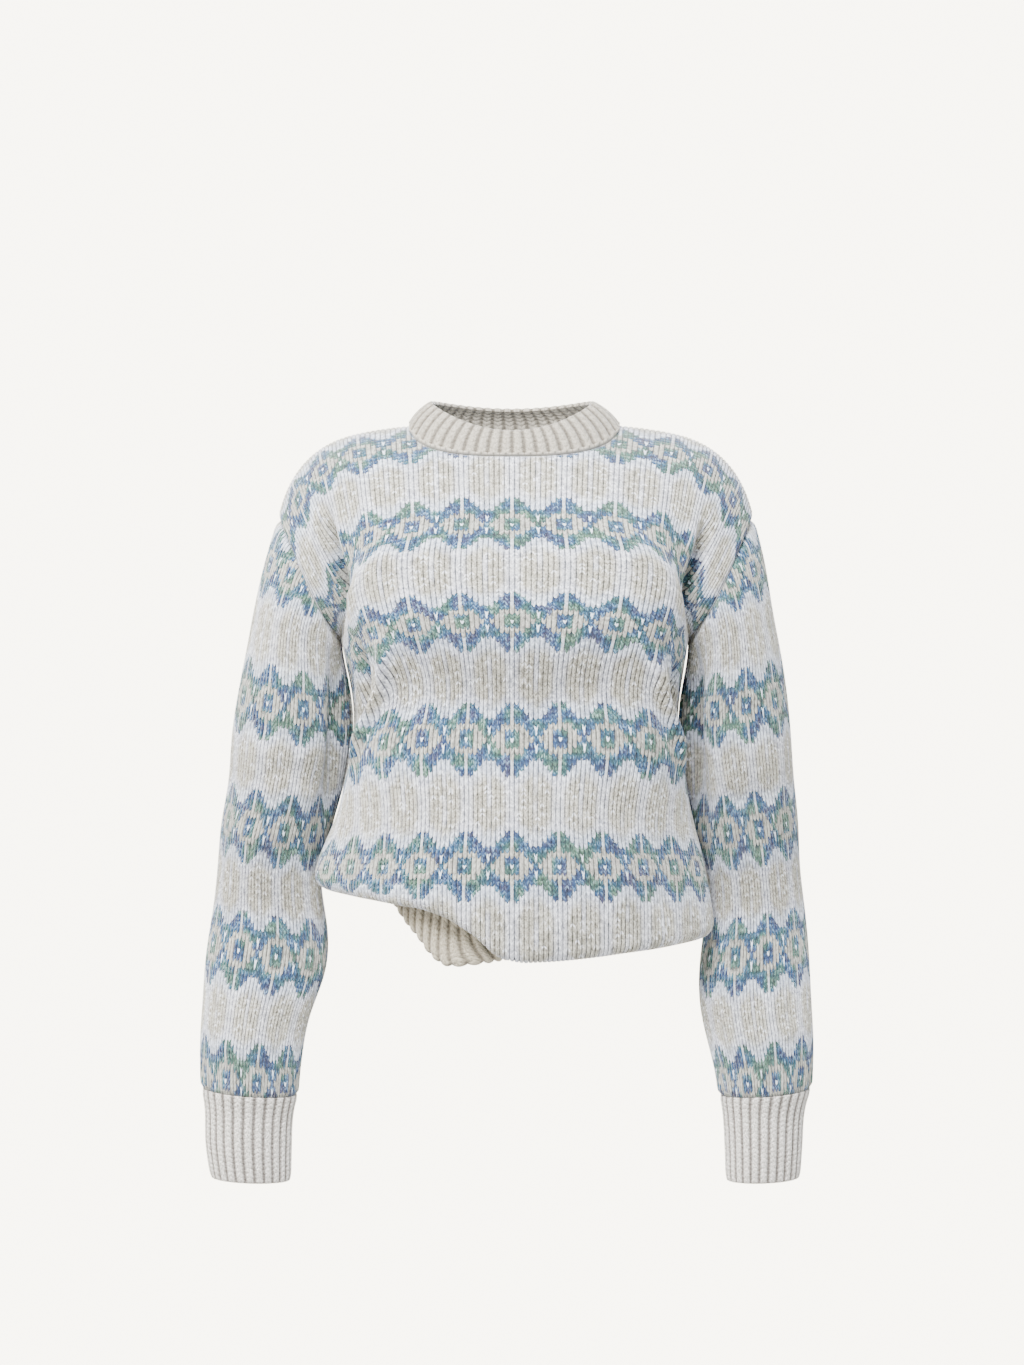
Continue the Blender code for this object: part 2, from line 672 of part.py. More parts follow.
def wall(outer, inner, closed):
    """Points and faces of a cloth wall. A ribbed one has two outer points for each inner one."""
    rows, count = outer.shape[:2]
    inner_count = inner.shape[1]
    ratio = count // inner_count
    size = rows * count
    points = np.concatenate([outer.reshape(-1, 3), inner.reshape(-1, 3)])
    faces = grid_faces(rows, count, 0, closed, False) + grid_faces(rows, inner_count, size, closed, True)
    for row, turned in ((0, False), (rows - 1, True)):
        for k in range(inner_count if closed else inner_count - 1):
            outside = [row * count + (k * ratio + i) % count for i in range(ratio + 1)]
            inside = [size + row * inner_count + (k + i) % inner_count for i in range(2)]
            rim = rim_faces(points, outside, inside)
            faces += [face[::-1] for face in rim] if turned else rim
    if not closed:
        for column, turned in ((0, True), (count - 1, False)):
            for v in range(rows - 1):
                outside = [v * count + column, (v + 1) * count + column]
                rim = rim_faces(points, outside, [size + index for index in outside])
                faces += [face[::-1] for face in rim] if turned else rim
    return points, faces


def enclosed(points, faces):
    """Volume inside the faces, negative when they face in."""
    total = 0.0
    for face in faces:
        for b, c in zip(face[1:-1], face[2:]):
            total += np.dot(points[face[0]], np.cross(points[b], points[c]))
    return total / 6


def add_piece(collection, name, outer, inner, closed, colour):
    """A piece of the jumper from its outer and inner points, with a knit material of its own."""
    points, faces = wall(outer, inner, closed)
    if enclosed(points, faces) < 0:
        faces = [face[::-1] for face in faces]
    mesh = bpy.data.meshes.new(name)
    mesh.from_pydata([tuple(point) for point in points * MM], [], faces)
    mesh.shade_smooth()
    mesh.set_sharp_from_angle(angle=np.radians(55))
    material = bpy.data.materials.new(name + "_knit")
    material.use_nodes = True
    shader = material.node_tree.nodes["Principled BSDF"]
    shader.inputs["Base Color"].default_value = (*colour, 1)
    shader.inputs["Roughness"].default_value = 0.9
    shader.inputs["Metallic"].default_value = 0
    mesh.materials.append(material)
    piece = bpy.data.objects.new(name, mesh)
    collection.objects.link(piece)


def add_sleeve(collection, side):
    """A sleeve, from the armhole down to its cuff seam."""
    shares = np.linspace(0, 1, ARMHOLE_STEPS + 1)
    front = armhole_angles(shares)
    angle = np.concatenate([front, -front[-2:0:-1]])
    loop, away, outward = armhole_frame(side, angle)
    outer = [loop + away * SEAM_GAP / 2]
    inner = [outer[0] - outward * WALL]
    for share in (0.25, 0.5, 0.75, 1):
        height = cap_height(angle) * (1 - share) + SLEEVE_LEVEL_Z * share
        outer.append(tube(SLEEVE, side, angle, height))
        inner.append(tube(SLEEVE, side, angle, height, WALL))
    for height in np.linspace(SLEEVE_LEVEL_Z, SLEEVE[-1][0], 11)[1:]:
        outer.append(tube(SLEEVE, side, angle, height))
        inner.append(tube(SLEEVE, side, angle, height, WALL))
    add_piece(collection, "sleeve_" + side_name(side), np.array(outer), np.array(inner), True, KNIT)


def add_cuff(collection, side):
    """A ribbed cuff, from the sleeve seam to its open end."""
    angle = np.arange(2 * CUFF_RIBS) * np.pi / CUFF_RIBS
    heights = np.array([row[0] for row in CUFF], float)[:, None]
    base = tube(CUFF, side, angle[None], heights)
    behind = tube(CUFF, side, angle[None], heights, WALL)
    outer, _ = ribbed(base, unit(base - behind), (0, RIB_HEIGHT, RIB_HEIGHT, RIB_HEIGHT * 0.6))
    add_piece(collection, "cuff_" + side_name(side), outer, behind[:, ::2], True, RIB)


def main():
    for old in list(bpy.data.objects):
        bpy.data.objects.remove(old, do_unlink=True)
    jumper = bpy.data.collections.new("fair_isle_jumper")
    bpy.context.scene.collection.children.link(jumper)

    panels = {back: panel(back) for back in (False, True)}
    for back, name in ((False, "front"), (True, "back")):
        outer, normals = panels[back][1:]
        add_piece(jumper, name, outer, outer - normals * WALL, False, KNIT)
    for side in (-1, 1):
        add_sleeve(jumper, side)
        add_cuff(jumper, side)
    base, normals = neck_ring(panels)
    outer, inner = ribbed(base, normals, (0, RIB_HEIGHT, RIB_HEIGHT, RIB_HEIGHT, RIB_HEIGHT * 0.6))
    add_piece(jumper, "neckband", outer, inner, True, RIB)
    base, normals = band_ring(panels)
    outer, inner = ribbed(base, normals, (0,) + (RIB_HEIGHT,) * 6 + (RIB_HEIGHT * 0.6,))
    add_piece(jumper, "hem_band", outer, inner, True, RIB)


main()
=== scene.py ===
"""Looks of the fair isle jumper: each knitted piece as a fine shell with its own wales and ribs.

The body and sleeves are stocking stitch, so every wale stands up a little from the grooves beside
it, and the colours follow a ten-stitch chart. The neckband, cuffs and hem band are ribbing. Lengths
in the tables are millimetres. A stitch is counted from the centre line and a row from the seam of
the hem band upwards. The right side is the wearer's.
"""

import bpy
import numpy as np
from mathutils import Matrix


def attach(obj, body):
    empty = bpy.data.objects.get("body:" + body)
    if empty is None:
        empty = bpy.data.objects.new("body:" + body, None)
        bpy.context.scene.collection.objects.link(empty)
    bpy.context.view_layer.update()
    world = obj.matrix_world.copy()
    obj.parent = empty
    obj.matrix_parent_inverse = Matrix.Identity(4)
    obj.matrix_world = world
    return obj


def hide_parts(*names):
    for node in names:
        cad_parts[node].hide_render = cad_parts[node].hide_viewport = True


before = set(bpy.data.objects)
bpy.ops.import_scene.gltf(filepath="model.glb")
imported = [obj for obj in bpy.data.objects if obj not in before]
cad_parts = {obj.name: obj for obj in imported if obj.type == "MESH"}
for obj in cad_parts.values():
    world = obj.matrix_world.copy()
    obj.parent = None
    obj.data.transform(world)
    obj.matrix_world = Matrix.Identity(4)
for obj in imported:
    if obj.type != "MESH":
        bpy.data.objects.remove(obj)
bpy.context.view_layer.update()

MM = 0.001

# Knitting
WALL = 3.0  # thickness of the cloth
SEAM_GAP = 0.3  # space between two pieces at a seam
HALF_PANEL = 60.0  # stitches from the centre line to the side seam
NECK_HALF = 20.0  # stitches from the centre line to the shoulder end of the neck
RIBS_A_PANEL = 54  # ribs of the hem band across the front, and across the back
RIB_STITCHES = 2 * HALF_PANEL / RIBS_A_PANEL

# Rows that matter
SEAM_ROW = -8.0  # the body's lower edge, sewn to the hem band
UNDERARM_ROW = 76.0
SHOULDER_ROW = 125.0
FRONT_NECK_ROW = 108.0
BACK_NECK_ROW = 121.0
ALL_COURSES = 2 * SHOULDER_ROW  # up the front and down the back
SHAPED_ROW = 21.0  # below this row the hem table sets the height of the cloth
ROW_HEIGHT = 4.57
STITCH_WIDTH = 4.2
SIDE_SEAM_Y = 1.5

# Ribbing
RIB_HEIGHT = 2.2
NECK_RIBS = 46
CUFF_RIBS = 26

# Courses of the body: row by row up the front, over the shoulders, down the back. The centre is
# on the centre line, the turn is where the row leaves the chest, and the side is at the seam.
COURSES = (
    "course", "centre_y", "centre_z", "turn_stitch", "turn_right_x", "turn_left_x", "turn_y", "turn_z",
    "turn_heading", "turn_dip", "side_right_x", "side_left_x", "side_z", "side_heading", "side_dip",
)
BODY = (
    (0, -146, -440, 40, 147, 150, -69, -440, 55, 0, 178, 182, -440, 92, 0),
    (8, -148, -420, 40, 147, 149, -70, -428, 55, 0, 178, 181, -430, 92, 0),
    (17, -147, -382, 40, 146, 147, -70, -392, 55, 4, 177, 175, -400, 92, 2),
    (30, -141, -325, 38, 134, 137, -79, -338, 54, 10, 161, 164, -357, 91, 6),
    (42, -135, -269, 36, 132, 140, -84, -280, 60, 16, 148, 154, -315, 91, 10),
    (55, -138, -212, 34, 121, 132, -92, -226, 58, 20, 140, 147.5, -268, 90, 12),
    (67, -140, -157, 35, 135, 144, -92, -180, 70, 24, 144.5, 152, -224, 90, 8),
    (76, -133, -122.5, 36, 146, 153, -86, -152, 84, 32, 152, 157, -190, 90, 0),
    (84, -121, -97, 33, 140, 146, -92, -120, 76, 34, 158, 162, -160, 62, 40),
    (92, -104, -70.5, 30, 129, 134, -87, -85, 34, 22, 170, 174, -140, 14, 58),
    (100, -84, -42.5, 30, 132, 137, -70, -58, 16, 18, 180, 184, -120, 6, 66),
    (108, -60, -16.5, 30, 135, 140, -50, -34, 8, 14, 190, 194, -110, 5, 72),
    (117, -26, 0, 30, 138, 144, -24, -13.5, 3, 12, 195, 200, -100, 2, 76),
    (125, 25, 4, 30, 139, 146, 8, -3.5, 0, 12, 200, 205, -95, 0, 78),
    (129, 64, -6, 30, 139, 146, 26, -7, -5, 13, 200, 205, -95, -1, 78),
    (133, 76, -20, 30, 138, 145, 44, -16, -6, 14, 195, 200, -100, -2, 76),
    (142, 92, -56, 30, 134, 141, 66, -44, -12, 15, 190, 194, -110, -5, 72),
    (150, 103, -90, 30, 131, 138, 82, -76, -22, 16, 180, 184, -120, -10, 64),
    (158, 109, -124, 30, 131, 137, 88, -110, -42, 18, 170, 174, -140, -16, 52),
    (166, 112, -158, 33, 138, 145, 82, -145, -68, 16, 158, 162, -160, -60, 34),
    (174, 113, -190, 36, 146, 152, 72, -178, -84, 10, 152, 157, -190, -88, 10),
    (183, 112, -228, 36, 142, 150, 68, -224, -82, 4, 144.5, 152, -224, -90, 6),
    (195, 108, -275, 36, 137, 145, 66, -271, -78, 0, 140, 147.5, -268, -90, 4),
    (208, 105, -322, 36, 139, 145, 64, -320, -70, 0, 148, 154, -315, -91, 2),
    (220, 108, -366, 38, 143, 146, 66, -362, -62, 0, 161, 164, -357, -91, 2),
    (233, 116, -410, 40, 150, 150, 62, -404, -57, 0, 177, 175, -400, -92, 2),
    (242, 118, -430, 40, 151, 153, 62, -430, -55, 0, 178, 181, -430, -92, 0),
    (250, 116, -440, 40, 150, 153, 61, -440, -55, 0, 178, 182, -440, -92, 0),
)

# The bloused lower edge. At each stitch it gives the height and the row of the lowest point, the
# outer radius of the fold there, and how much cloth is turned up before the hem band begins.
HEM = ("stitch", "edge_z", "edge_row", "radius", "turned_up")
FRONT_HEM = (
    (-60, -411, 13.2, 11, 44),
    (-46, -412, 11.7, 11, 38),
    (-33, -413, 10.3, 10, 22),
    (-20, -416, 8.6, 8, 15),
    (-14, -423, 7.0, 8, 15),
    (-8, -438, 3.7, 8, 15),
    (-3, -458, -0.5, 9, 18),
    (2, -463, -2.2, 11, 26),
    (10, -462, -1.9, 11, 30),
    (26, -458, -0.4, 11, 30),
    (42, -457, 1.4, 11, 30),
    (52, -456, 2.6, 11, 30),
    (60, -455, 3.6, 11, 30),
)
BACK_HEM = (
    (-60, -411, 13.2, 11, 44),
    (-46, -418, 12.2, 11, 43),
    (-33, -429, 10.8, 11, 40),
    (-20, -441, 8.8, 11, 36),
    (0, -452, 6.9, 11, 33),
    (30, -456, 5.1, 11, 31),
    (60, -455, 3.6, 11, 30),
)

# Sleeve sections, from the top of the cap to the cuff seam: a tilted oval at each height.
SLEEVE_SECTIONS = (
    "centre_z", "right_outer", "right_inner", "left_outer", "left_inner", "tilt", "front_y", "back_y",
)
SLEEVE = (
    (-99, 210, 122, 217, 128, 24, -52, 54),
    (-135, 222, 138, 227, 146, 20, -58, 60),
    (-170, 231, 152.5, 233.5, 158, 16, -58, 61),
    (-205, 238, 150, 240.5, 157, 12, -55, 62),
    (-245, 246, 144, 247, 151, 9, -50, 67),
    (-285, 252, 146, 251, 153, 8, -43, 73),
    (-325, 255.5, 155, 254, 159.5, 8, -32, 82),
    (-365, 262.5, 166, 258, 166.5, 8, -18, 90),
    (-405, 266, 173, 260, 174.5, 8, -8, 96),
    (-445, 270, 168, 264.5, 174.5, 8, -9, 92),
    (-485, 276, 169.5, 268, 170, 8, -21, 78),
    (-525, 279, 183, 270, 172, 7, -33, 61),
    (-565, 281, 190.5, 271.5, 181.5, 6, -39, 48),
    (-598, 279, 194.5, 269, 188, 4, -39, 43),
)
CAP_TOP_Z = -99.0  # section height at the top of the armhole
CAP_UNDER_Z = -176.0  # section height at the underarm

# Cuff sections, from the sleeve seam to the open end.
CUFF = (
    (-598.4, 279, 194.5, 269, 189, 4, -39, 43),
    (-607, 277, 197, 265.5, 190.5, 3, -36, 40),
    (-640, 275.5, 200.5, 261, 193.5, 2, -34, 37),
    (-678, 270.5, 201.5, 258.5, 195, 2, -32, 34),
)

# Top edge of the neckband: half width, depths and heights of its oval.
NECK_TOP_HALF = 72.0
NECK_TOP_FRONT_Y = -48.0
NECK_TOP_BACK_Y = 54.0
NECK_TOP_FRONT_Z = 5.5
NECK_TOP_SIDE_Z = 26.0
NECK_TOP_BACK_Z = 15.0
NECK_BULGE = 2.5  # how far the neckband rounds outwards between its edges

# The hem band, which hangs from its seam inside the blouse and turns under at the bottom: how far
# its lowest point is below the edge of the blouse, and the sideways pull of its ribs.
BAND = ("stitch", "drop", "pull")
BAND_HANG = (
    (-60, -4, 0),
    (-38, -4, 0),
    (-33, 0, 1),
    (-28.5, 10, 5),
    (-24.5, 19, 9),
    (-19.4, 29, 14),
    (-15.2, 38, 19),
    (-12, 40, 20),
    (-9, 33, 18),
    (-6.8, 24, 10),
    (-4.5, 11, 3),
    (-2, 2, 0),
    (2, -2, 0),
    (8, -4, 0),
    (60, -4, 0),
)
BAND_WIDTH = 62.0

# Where the front of the band is drawn aside its ribs lean: stitches that they move to the left
# by the bottom of the band.
LEAN = ("stitch", "stitches")
BAND_LEAN = ((-60, 0), (-40, 0), (-33, 1), (-28, 3), (-20, 5), (-12, 6), (-6, 4.5), (-2, 2), (3, 0), (60, 0))

# Spacing of the points
SLEEVE_LEVEL_Z = -235.0  # below this section the sleeve's rows of points are level



def spline(xs, ys, x):
    """Natural cubic spline through the points, held level beyond its ends."""
    order = np.argsort(xs)
    xs = np.asarray(xs, float)[order]
    ys = np.asarray(ys, float)[order]
    x = np.clip(np.asarray(x, float), xs[0], xs[-1])
    step = np.diff(xs)
    slope = np.diff(ys) / step
    count = len(xs)
    matrix = np.eye(count)
    right = np.zeros(count)
    for i in range(1, count - 1):
        matrix[i, i - 1 : i + 2] = step[i - 1], 2 * (step[i - 1] + step[i]), step[i]
        right[i] = 6 * (slope[i] - slope[i - 1])
    bend = np.linalg.solve(matrix, right)
    k = np.clip(np.searchsorted(xs, x, side="right") - 1, 0, count - 2)
    a = (xs[k + 1] - x) / step[k]
    b = 1 - a
    curved = ((a**3 - a) * bend[k] + (b**3 - b) * bend[k + 1]) * step[k] ** 2 / 6
    return a * ys[k] + b * ys[k + 1] + curved


def read(columns, table, name, at):
    """A column of a table, read between its rows by a spline over the first column."""
    rows = np.array(table, float)
    return spline(rows[:, 0], rows[:, columns.index(name)], at)


def eased(columns, table, name, at):
    """The same without overshoot: straight between the rows, then smoothed."""
    rows = np.array(table, float)
    at = np.asarray(at, float)
    shifts = np.linspace(-1.5, 1.5, 7)
    shifted = np.clip(at[..., None] + shifts, rows[0, 0], rows[-1, 0])
    return np.interp(shifted, rows[:, 0], rows[:, columns.index(name)]).mean(axis=-1)


def side_name(side):
    """The wearer's right is at -X, and the left at +X."""
    return "right" if side < 0 else "left"


def unit(vector):
    return vector / np.maximum(np.linalg.norm(vector, axis=-1, keepdims=True), 1e-9)


def lifted(height):
    """Vectors straight up by the given heights."""
    return np.stack([np.zeros_like(height), np.zeros_like(height), height], axis=-1)


def travelled(points):
    """Distance along a polyline at each of its points."""
    return np.concatenate([[0], np.cumsum(np.linalg.norm(np.diff(points, axis=0), axis=1))])


def along(points, share):
    """Points at the given shares of a polyline's length."""
    distance = travelled(points)
    wanted = np.asarray(share, float) * distance[-1]
    return np.stack([np.interp(wanted, distance, column) for column in points.T], axis=-1)


# ---------------------------------------------------------------- sleeves and armholes


def tube(table, side, angle, height, inset=0.0):
    """Point of a sleeve or cuff. Angle 0 is outside, 90 degrees in front, 180 at the body."""
    angle, height = np.broadcast_arrays(np.asarray(angle, float), np.asarray(height, float))
    outer = read(SLEEVE_SECTIONS, table, side_name(side) + "_outer", height)
    inner = read(SLEEVE_SECTIONS, table, side_name(side) + "_inner", height)
    tilt = np.radians(read(SLEEVE_SECTIONS, table, "tilt", height))
    front = read(SLEEVE_SECTIONS, table, "front_y", height)
    back = read(SLEEVE_SECTIONS, table, "back_y", height)
    half = (outer - inner) / 2 - inset
    deep = (back - front) / 2 - inset
    x = side * ((outer + inner) / 2 + half * np.cos(angle))
    y = (front + back) / 2 - deep * np.sin(angle)
    z = height + half * np.tan(tilt) * np.cos(angle)
    return np.stack([x, y, z], axis=-1)


def cap_height(angle):
    """Section height at which the sleeve begins, around the armhole."""
    return CAP_TOP_Z + (CAP_UNDER_Z - CAP_TOP_Z) * (1 - np.cos(angle)) / 2


def armhole_angles(share):
    """Angles round the sleeve at shares of the armhole, from the underarm up the front."""
    angles = np.linspace(np.pi, 0, 181)
    distance = travelled(tube(SLEEVE, 1, angles, cap_height(angles)))
    return np.interp(np.asarray(share, float) * distance[-1], distance, angles)


def armhole(side, course):
    """Point of the armhole for a course of the body: up the front half, then down the back."""
    share = (min(course, ALL_COURSES - course) - UNDERARM_ROW) / (SHOULDER_ROW - UNDERARM_ROW)
    angle = armhole_angles(share) * (1 if course <= SHOULDER_ROW else -1)
    return tube(SLEEVE, side, angle, cap_height(angle))


def armhole_frame(side, angle):
    """Armhole points, the way along the cloth into the sleeve, and the direction out of it.

    At the underarm the cloth turns over from the body into the sleeve, so there it faces down.
    """
    step = 0.02
    loop = tube(SLEEVE, side, angle, cap_height(angle))
    ahead = tube(SLEEVE, side, angle + step, cap_height(angle + step))
    behind = tube(SLEEVE, side, angle - step, cap_height(angle - step))
    down = tube(SLEEVE, side, angle, cap_height(angle) - 1) - loop
    around = unit(ahead - behind)
    outward = unit(np.cross(around, down)) * side
    under = ((1 - np.cos(angle)) / 2)[:, None] ** 3
    outward = outward * (1 - under) - np.array([0, 0, 1]) * under
    outward = unit(outward - around * (outward * around).sum(axis=-1, keepdims=True))
    away = unit(np.cross(outward, around)) * side
    return loop, away, outward


# ---------------------------------------------------------------- body


def heading(side, turn, dip):
    """Unit direction of a row. Turn 0 is sideways and 90 is backwards, dip is downwards."""
    turn = np.radians(turn)
    dip = np.radians(dip)
    return np.array([side * np.cos(turn) * np.cos(dip), np.sin(turn) * np.cos(dip), -np.sin(dip)])


def bezier(start, start_handle, end_handle, end, steps):
    t = np.linspace(0, 1, steps)[:, None]
    s = 1 - t
    return s**3 * start + 3 * s * s * t * start_handle + 3 * s * t * t * end_handle + t**3 * end


def half_row(side, course, stitches):
    """Points of one course from the centre line out to the side seam or armhole."""
    value = {name: float(read(COURSES, BODY, name, course)) for name in COURSES[1:]}
    name = side_name(side)
    centre = np.array([0.0, value["centre_y"], value["centre_z"]])
    turn = np.array([side * value["turn_" + name + "_x"], value["turn_y"], value["turn_z"]])
    if UNDERARM_ROW <= course <= ALL_COURSES - UNDERARM_ROW:
        end = armhole(side, course)
    else:
        front_course = min(course, ALL_COURSES - course)
        side_x = float(read(COURSES, BODY, "side_" + name + "_x", front_course))
        end = np.array([side * side_x, SIDE_SEAM_Y, float(read(COURSES, BODY, "side_z", front_course))])
    outwards = heading(side, 0.0, 0.0)
    turning = heading(side, value["turn_heading"], value["turn_dip"])
    ending = heading(side, value["side_heading"], value["side_dip"])
    reach = np.linalg.norm(turn - centre) * 0.36
    inner = bezier(centre, centre + reach * outwards, turn - reach * turning, turn, 25)
    reach = np.linalg.norm(end - turn) * 0.40
    outer = bezier(turn, turn + reach * turning, end - reach * ending, end, 25)
    shares = stitches / value["turn_stitch"]
    outer_shares = (stitches - value["turn_stitch"]) / (HALF_PANEL - value["turn_stitch"])
    first = along(inner, np.clip(shares, 0, 1))
    second = along(outer, np.clip(outer_shares, 0, 1))
    return np.where((shares <= 1)[:, None], first, second)


def body_grid():
    """Outer surface of the body, a row of points a course, before its lower edge is shaped."""
    half = np.linspace(0, HALF_PANEL, 61)
    rows = []
    for course in np.linspace(0, ALL_COURSES, 251):
        right = half_row(-1, course, half)
        left = half_row(1, course, half)
        rows.append(np.concatenate([right[:0:-1], left]))
    grid = np.array(rows)
    for _ in range(2):
        grid[:, 1:-1] = (grid[:, :-2] + 2 * grid[:, 1:-1] + grid[:, 2:]) / 4
    return grid


def beyond(grid, i, j):
    """A grid point, carried on in a straight line one step beyond each edge."""
    ci = np.clip(i, 0, grid.shape[0] - 1)
    cj = np.clip(j, 0, grid.shape[1] - 1)
    return 2 * grid[ci, cj] - grid[2 * ci - i, 2 * cj - j]


def on_grid(grid, course, stitch):
    """Grid points at any course and stitch, by cubic blending of the points around them."""
    v = np.clip(course, 0, ALL_COURSES)
    u = np.clip(stitch + HALF_PANEL, 0, 2 * HALF_PANEL)
    i = np.clip(v.astype(int), 0, grid.shape[0] - 2)
    j = np.clip(u.astype(int), 0, grid.shape[1] - 2)

    def weights(f):
        return (
            (-f + 2 * f**2 - f**3) / 2,
            (2 - 5 * f**2 + 3 * f**3) / 2,
            (f + 4 * f**2 - 3 * f**3) / 2,
            (-(f**2) + f**3) / 2,
        )

    total = 0
    for a, row_weight in enumerate(weights(v - i)):
        for b, column_weight in enumerate(weights(u - j)):
            total = total + (row_weight * column_weight)[..., None] * beyond(grid, i + a - 1, j + b - 1)
    return total


BODY_GRID = body_grid()


def inward(point):
    """Level direction from the outside of the blouse towards its middle."""
    x = -point[..., 0] / 178**2
    y = -(point[..., 1] + 10) / 136**2
    return unit(np.stack([x, y, np.zeros_like(x)], axis=-1))


def lean(point):
    """How far cloth turned up inside leans inwards, as the blouse narrows above it."""
    return 0.18 + 0.24 * (point[..., 0] / 178) ** 2


def hem_values(back, stitch):
    """Radius of the fold, the row and height where it starts, and the length of cloth below."""
    table = BACK_HEM if back else FRONT_HEM
    radius = eased(HEM, table, "radius", stitch)
    quarter = radius * np.pi / 2
    row = eased(HEM, table, "edge_row", stitch) + quarter / ROW_HEIGHT
    height = eased(HEM, table, "edge_z", stitch) + radius
    length = quarter + eased(HEM, table, "turned_up", stitch)
    return radius, row, height, length


def body_point(back, row, stitch):
    """Point of the cloth's outer face, at a row and stitch of the front or the back."""
    row, stitch = np.broadcast_arrays(np.asarray(row, float), np.asarray(stitch, float))
    radius, start_row, start_z, length = hem_values(back, stitch)
    above = np.maximum(row, start_row)
    point = on_grid(BODY_GRID, ALL_COURSES - above if back else above, stitch)
    shaped = np.full_like(stitch, ALL_COURSES - SHAPED_ROW if back else SHAPED_ROW)
    shaped_z = on_grid(BODY_GRID, shaped, stitch)[..., 2]
    share = np.clip((SHAPED_ROW - above) / (SHAPED_ROW - start_row), 0, 1)
    point[..., 2] = np.where(above < SHAPED_ROW, shaped_z + (start_z - shaped_z) * share, point[..., 2])
    rolled = np.clip((start_row - row) / (start_row - SEAM_ROW), 0, 1) * length
    angle = np.minimum(rolled / radius, np.pi)
    upright = np.maximum(rolled - np.pi * radius, 0)
    inset = radius * (1 - np.cos(angle)) + lean(point) * upright
    return point + inset[..., None] * inward(point) + lifted(upright - radius * np.sin(angle))


def neck_row(back, stitch):
    """Row of the neck edge across the neck opening, and of the shoulder seam beyond it."""
    low = BACK_NECK_ROW if back else FRONT_NECK_ROW
    share = np.clip(np.abs(stitch) / NECK_HALF, 0, 1)
    return low + (SHOULDER_ROW - low) * (1 - (1 - share**2.5) ** 0.4)


def band_way(behind, top, drop):
    """Way of the hem band from its seam, as inset from the blouse and height above its edge."""
    return np.array([
        (behind, top),
        (behind + 1, top + 3.5),
        (behind + 4.5, top + 5),
        (behind + 8, top + 2.5),
        (behind + 8.5, (top + 7 - drop) / 2),
        (behind + 7, 5 - drop),
        (behind + 8.5, 0.9 - drop),
        (behind + 12, -drop),
        (behind + 15.5, 2.5 - drop),
        (behind + 17, 8 - drop),
        (behind + 22, 60 - drop),
    ])

# ---------------------------------------------------------------- knitted relief and creases

# Where the points of one wale lie between its middle and the next, and how far each stands up.
WALE_STEPS = np.array([0.0, 0.33, 0.5, 0.67])
WALE_RISE = np.array([0.75, 0.5, -0.75, 0.5])

SEAM_DIP = 2.6  # how far the cloth sinks at the armhole seam, and over what width
SEAM_WIDTH = 4.0
GATHER = 2.2  # height of the gathers where a sleeve meets its cuff

# Round half of the sleeve pattern's ten stitches: wales round each sleeve, and where one axis is.
SLEEVE_WALES = {-1: 96, 1: 100}
SLEEVE_AXIS = {-1: 24.0, 1: 40.0}
SLEEVE_ROWS = (
    (-99, 124.4),
    (-132, 117),
    (-210, 98.4),
    (-244, 92),
    (-278, 85.6),
    (-325, 73.4),
    (-359, 67),
    (-393, 60.6),
    (-438, 48.4),
    (-472, 42),
    (-506, 35.6),
    (-551, 23.2),
    (-585, 17),
    (-598, 14.6),
)

# Where the worn cloth is stretched, the chart's rows lie wider apart: course of the body to row.
STRETCHED = (
    (-8, -8.6),
    (4, 3.6),
    (12, 10.8),
    (18.7, 17),
    (25.4, 23.2),
    (31, 29.4),
    (36.8, 36),
    (43.3, 42),
    (49.8, 48),
    (55.5, 54.4),
    (67.3, 67),
    (79, 79.4),
    (91.2, 92),
    (100, 101.2),
    (107.6, 110),
    (115.6, 117.2),
    (125, 127),
)

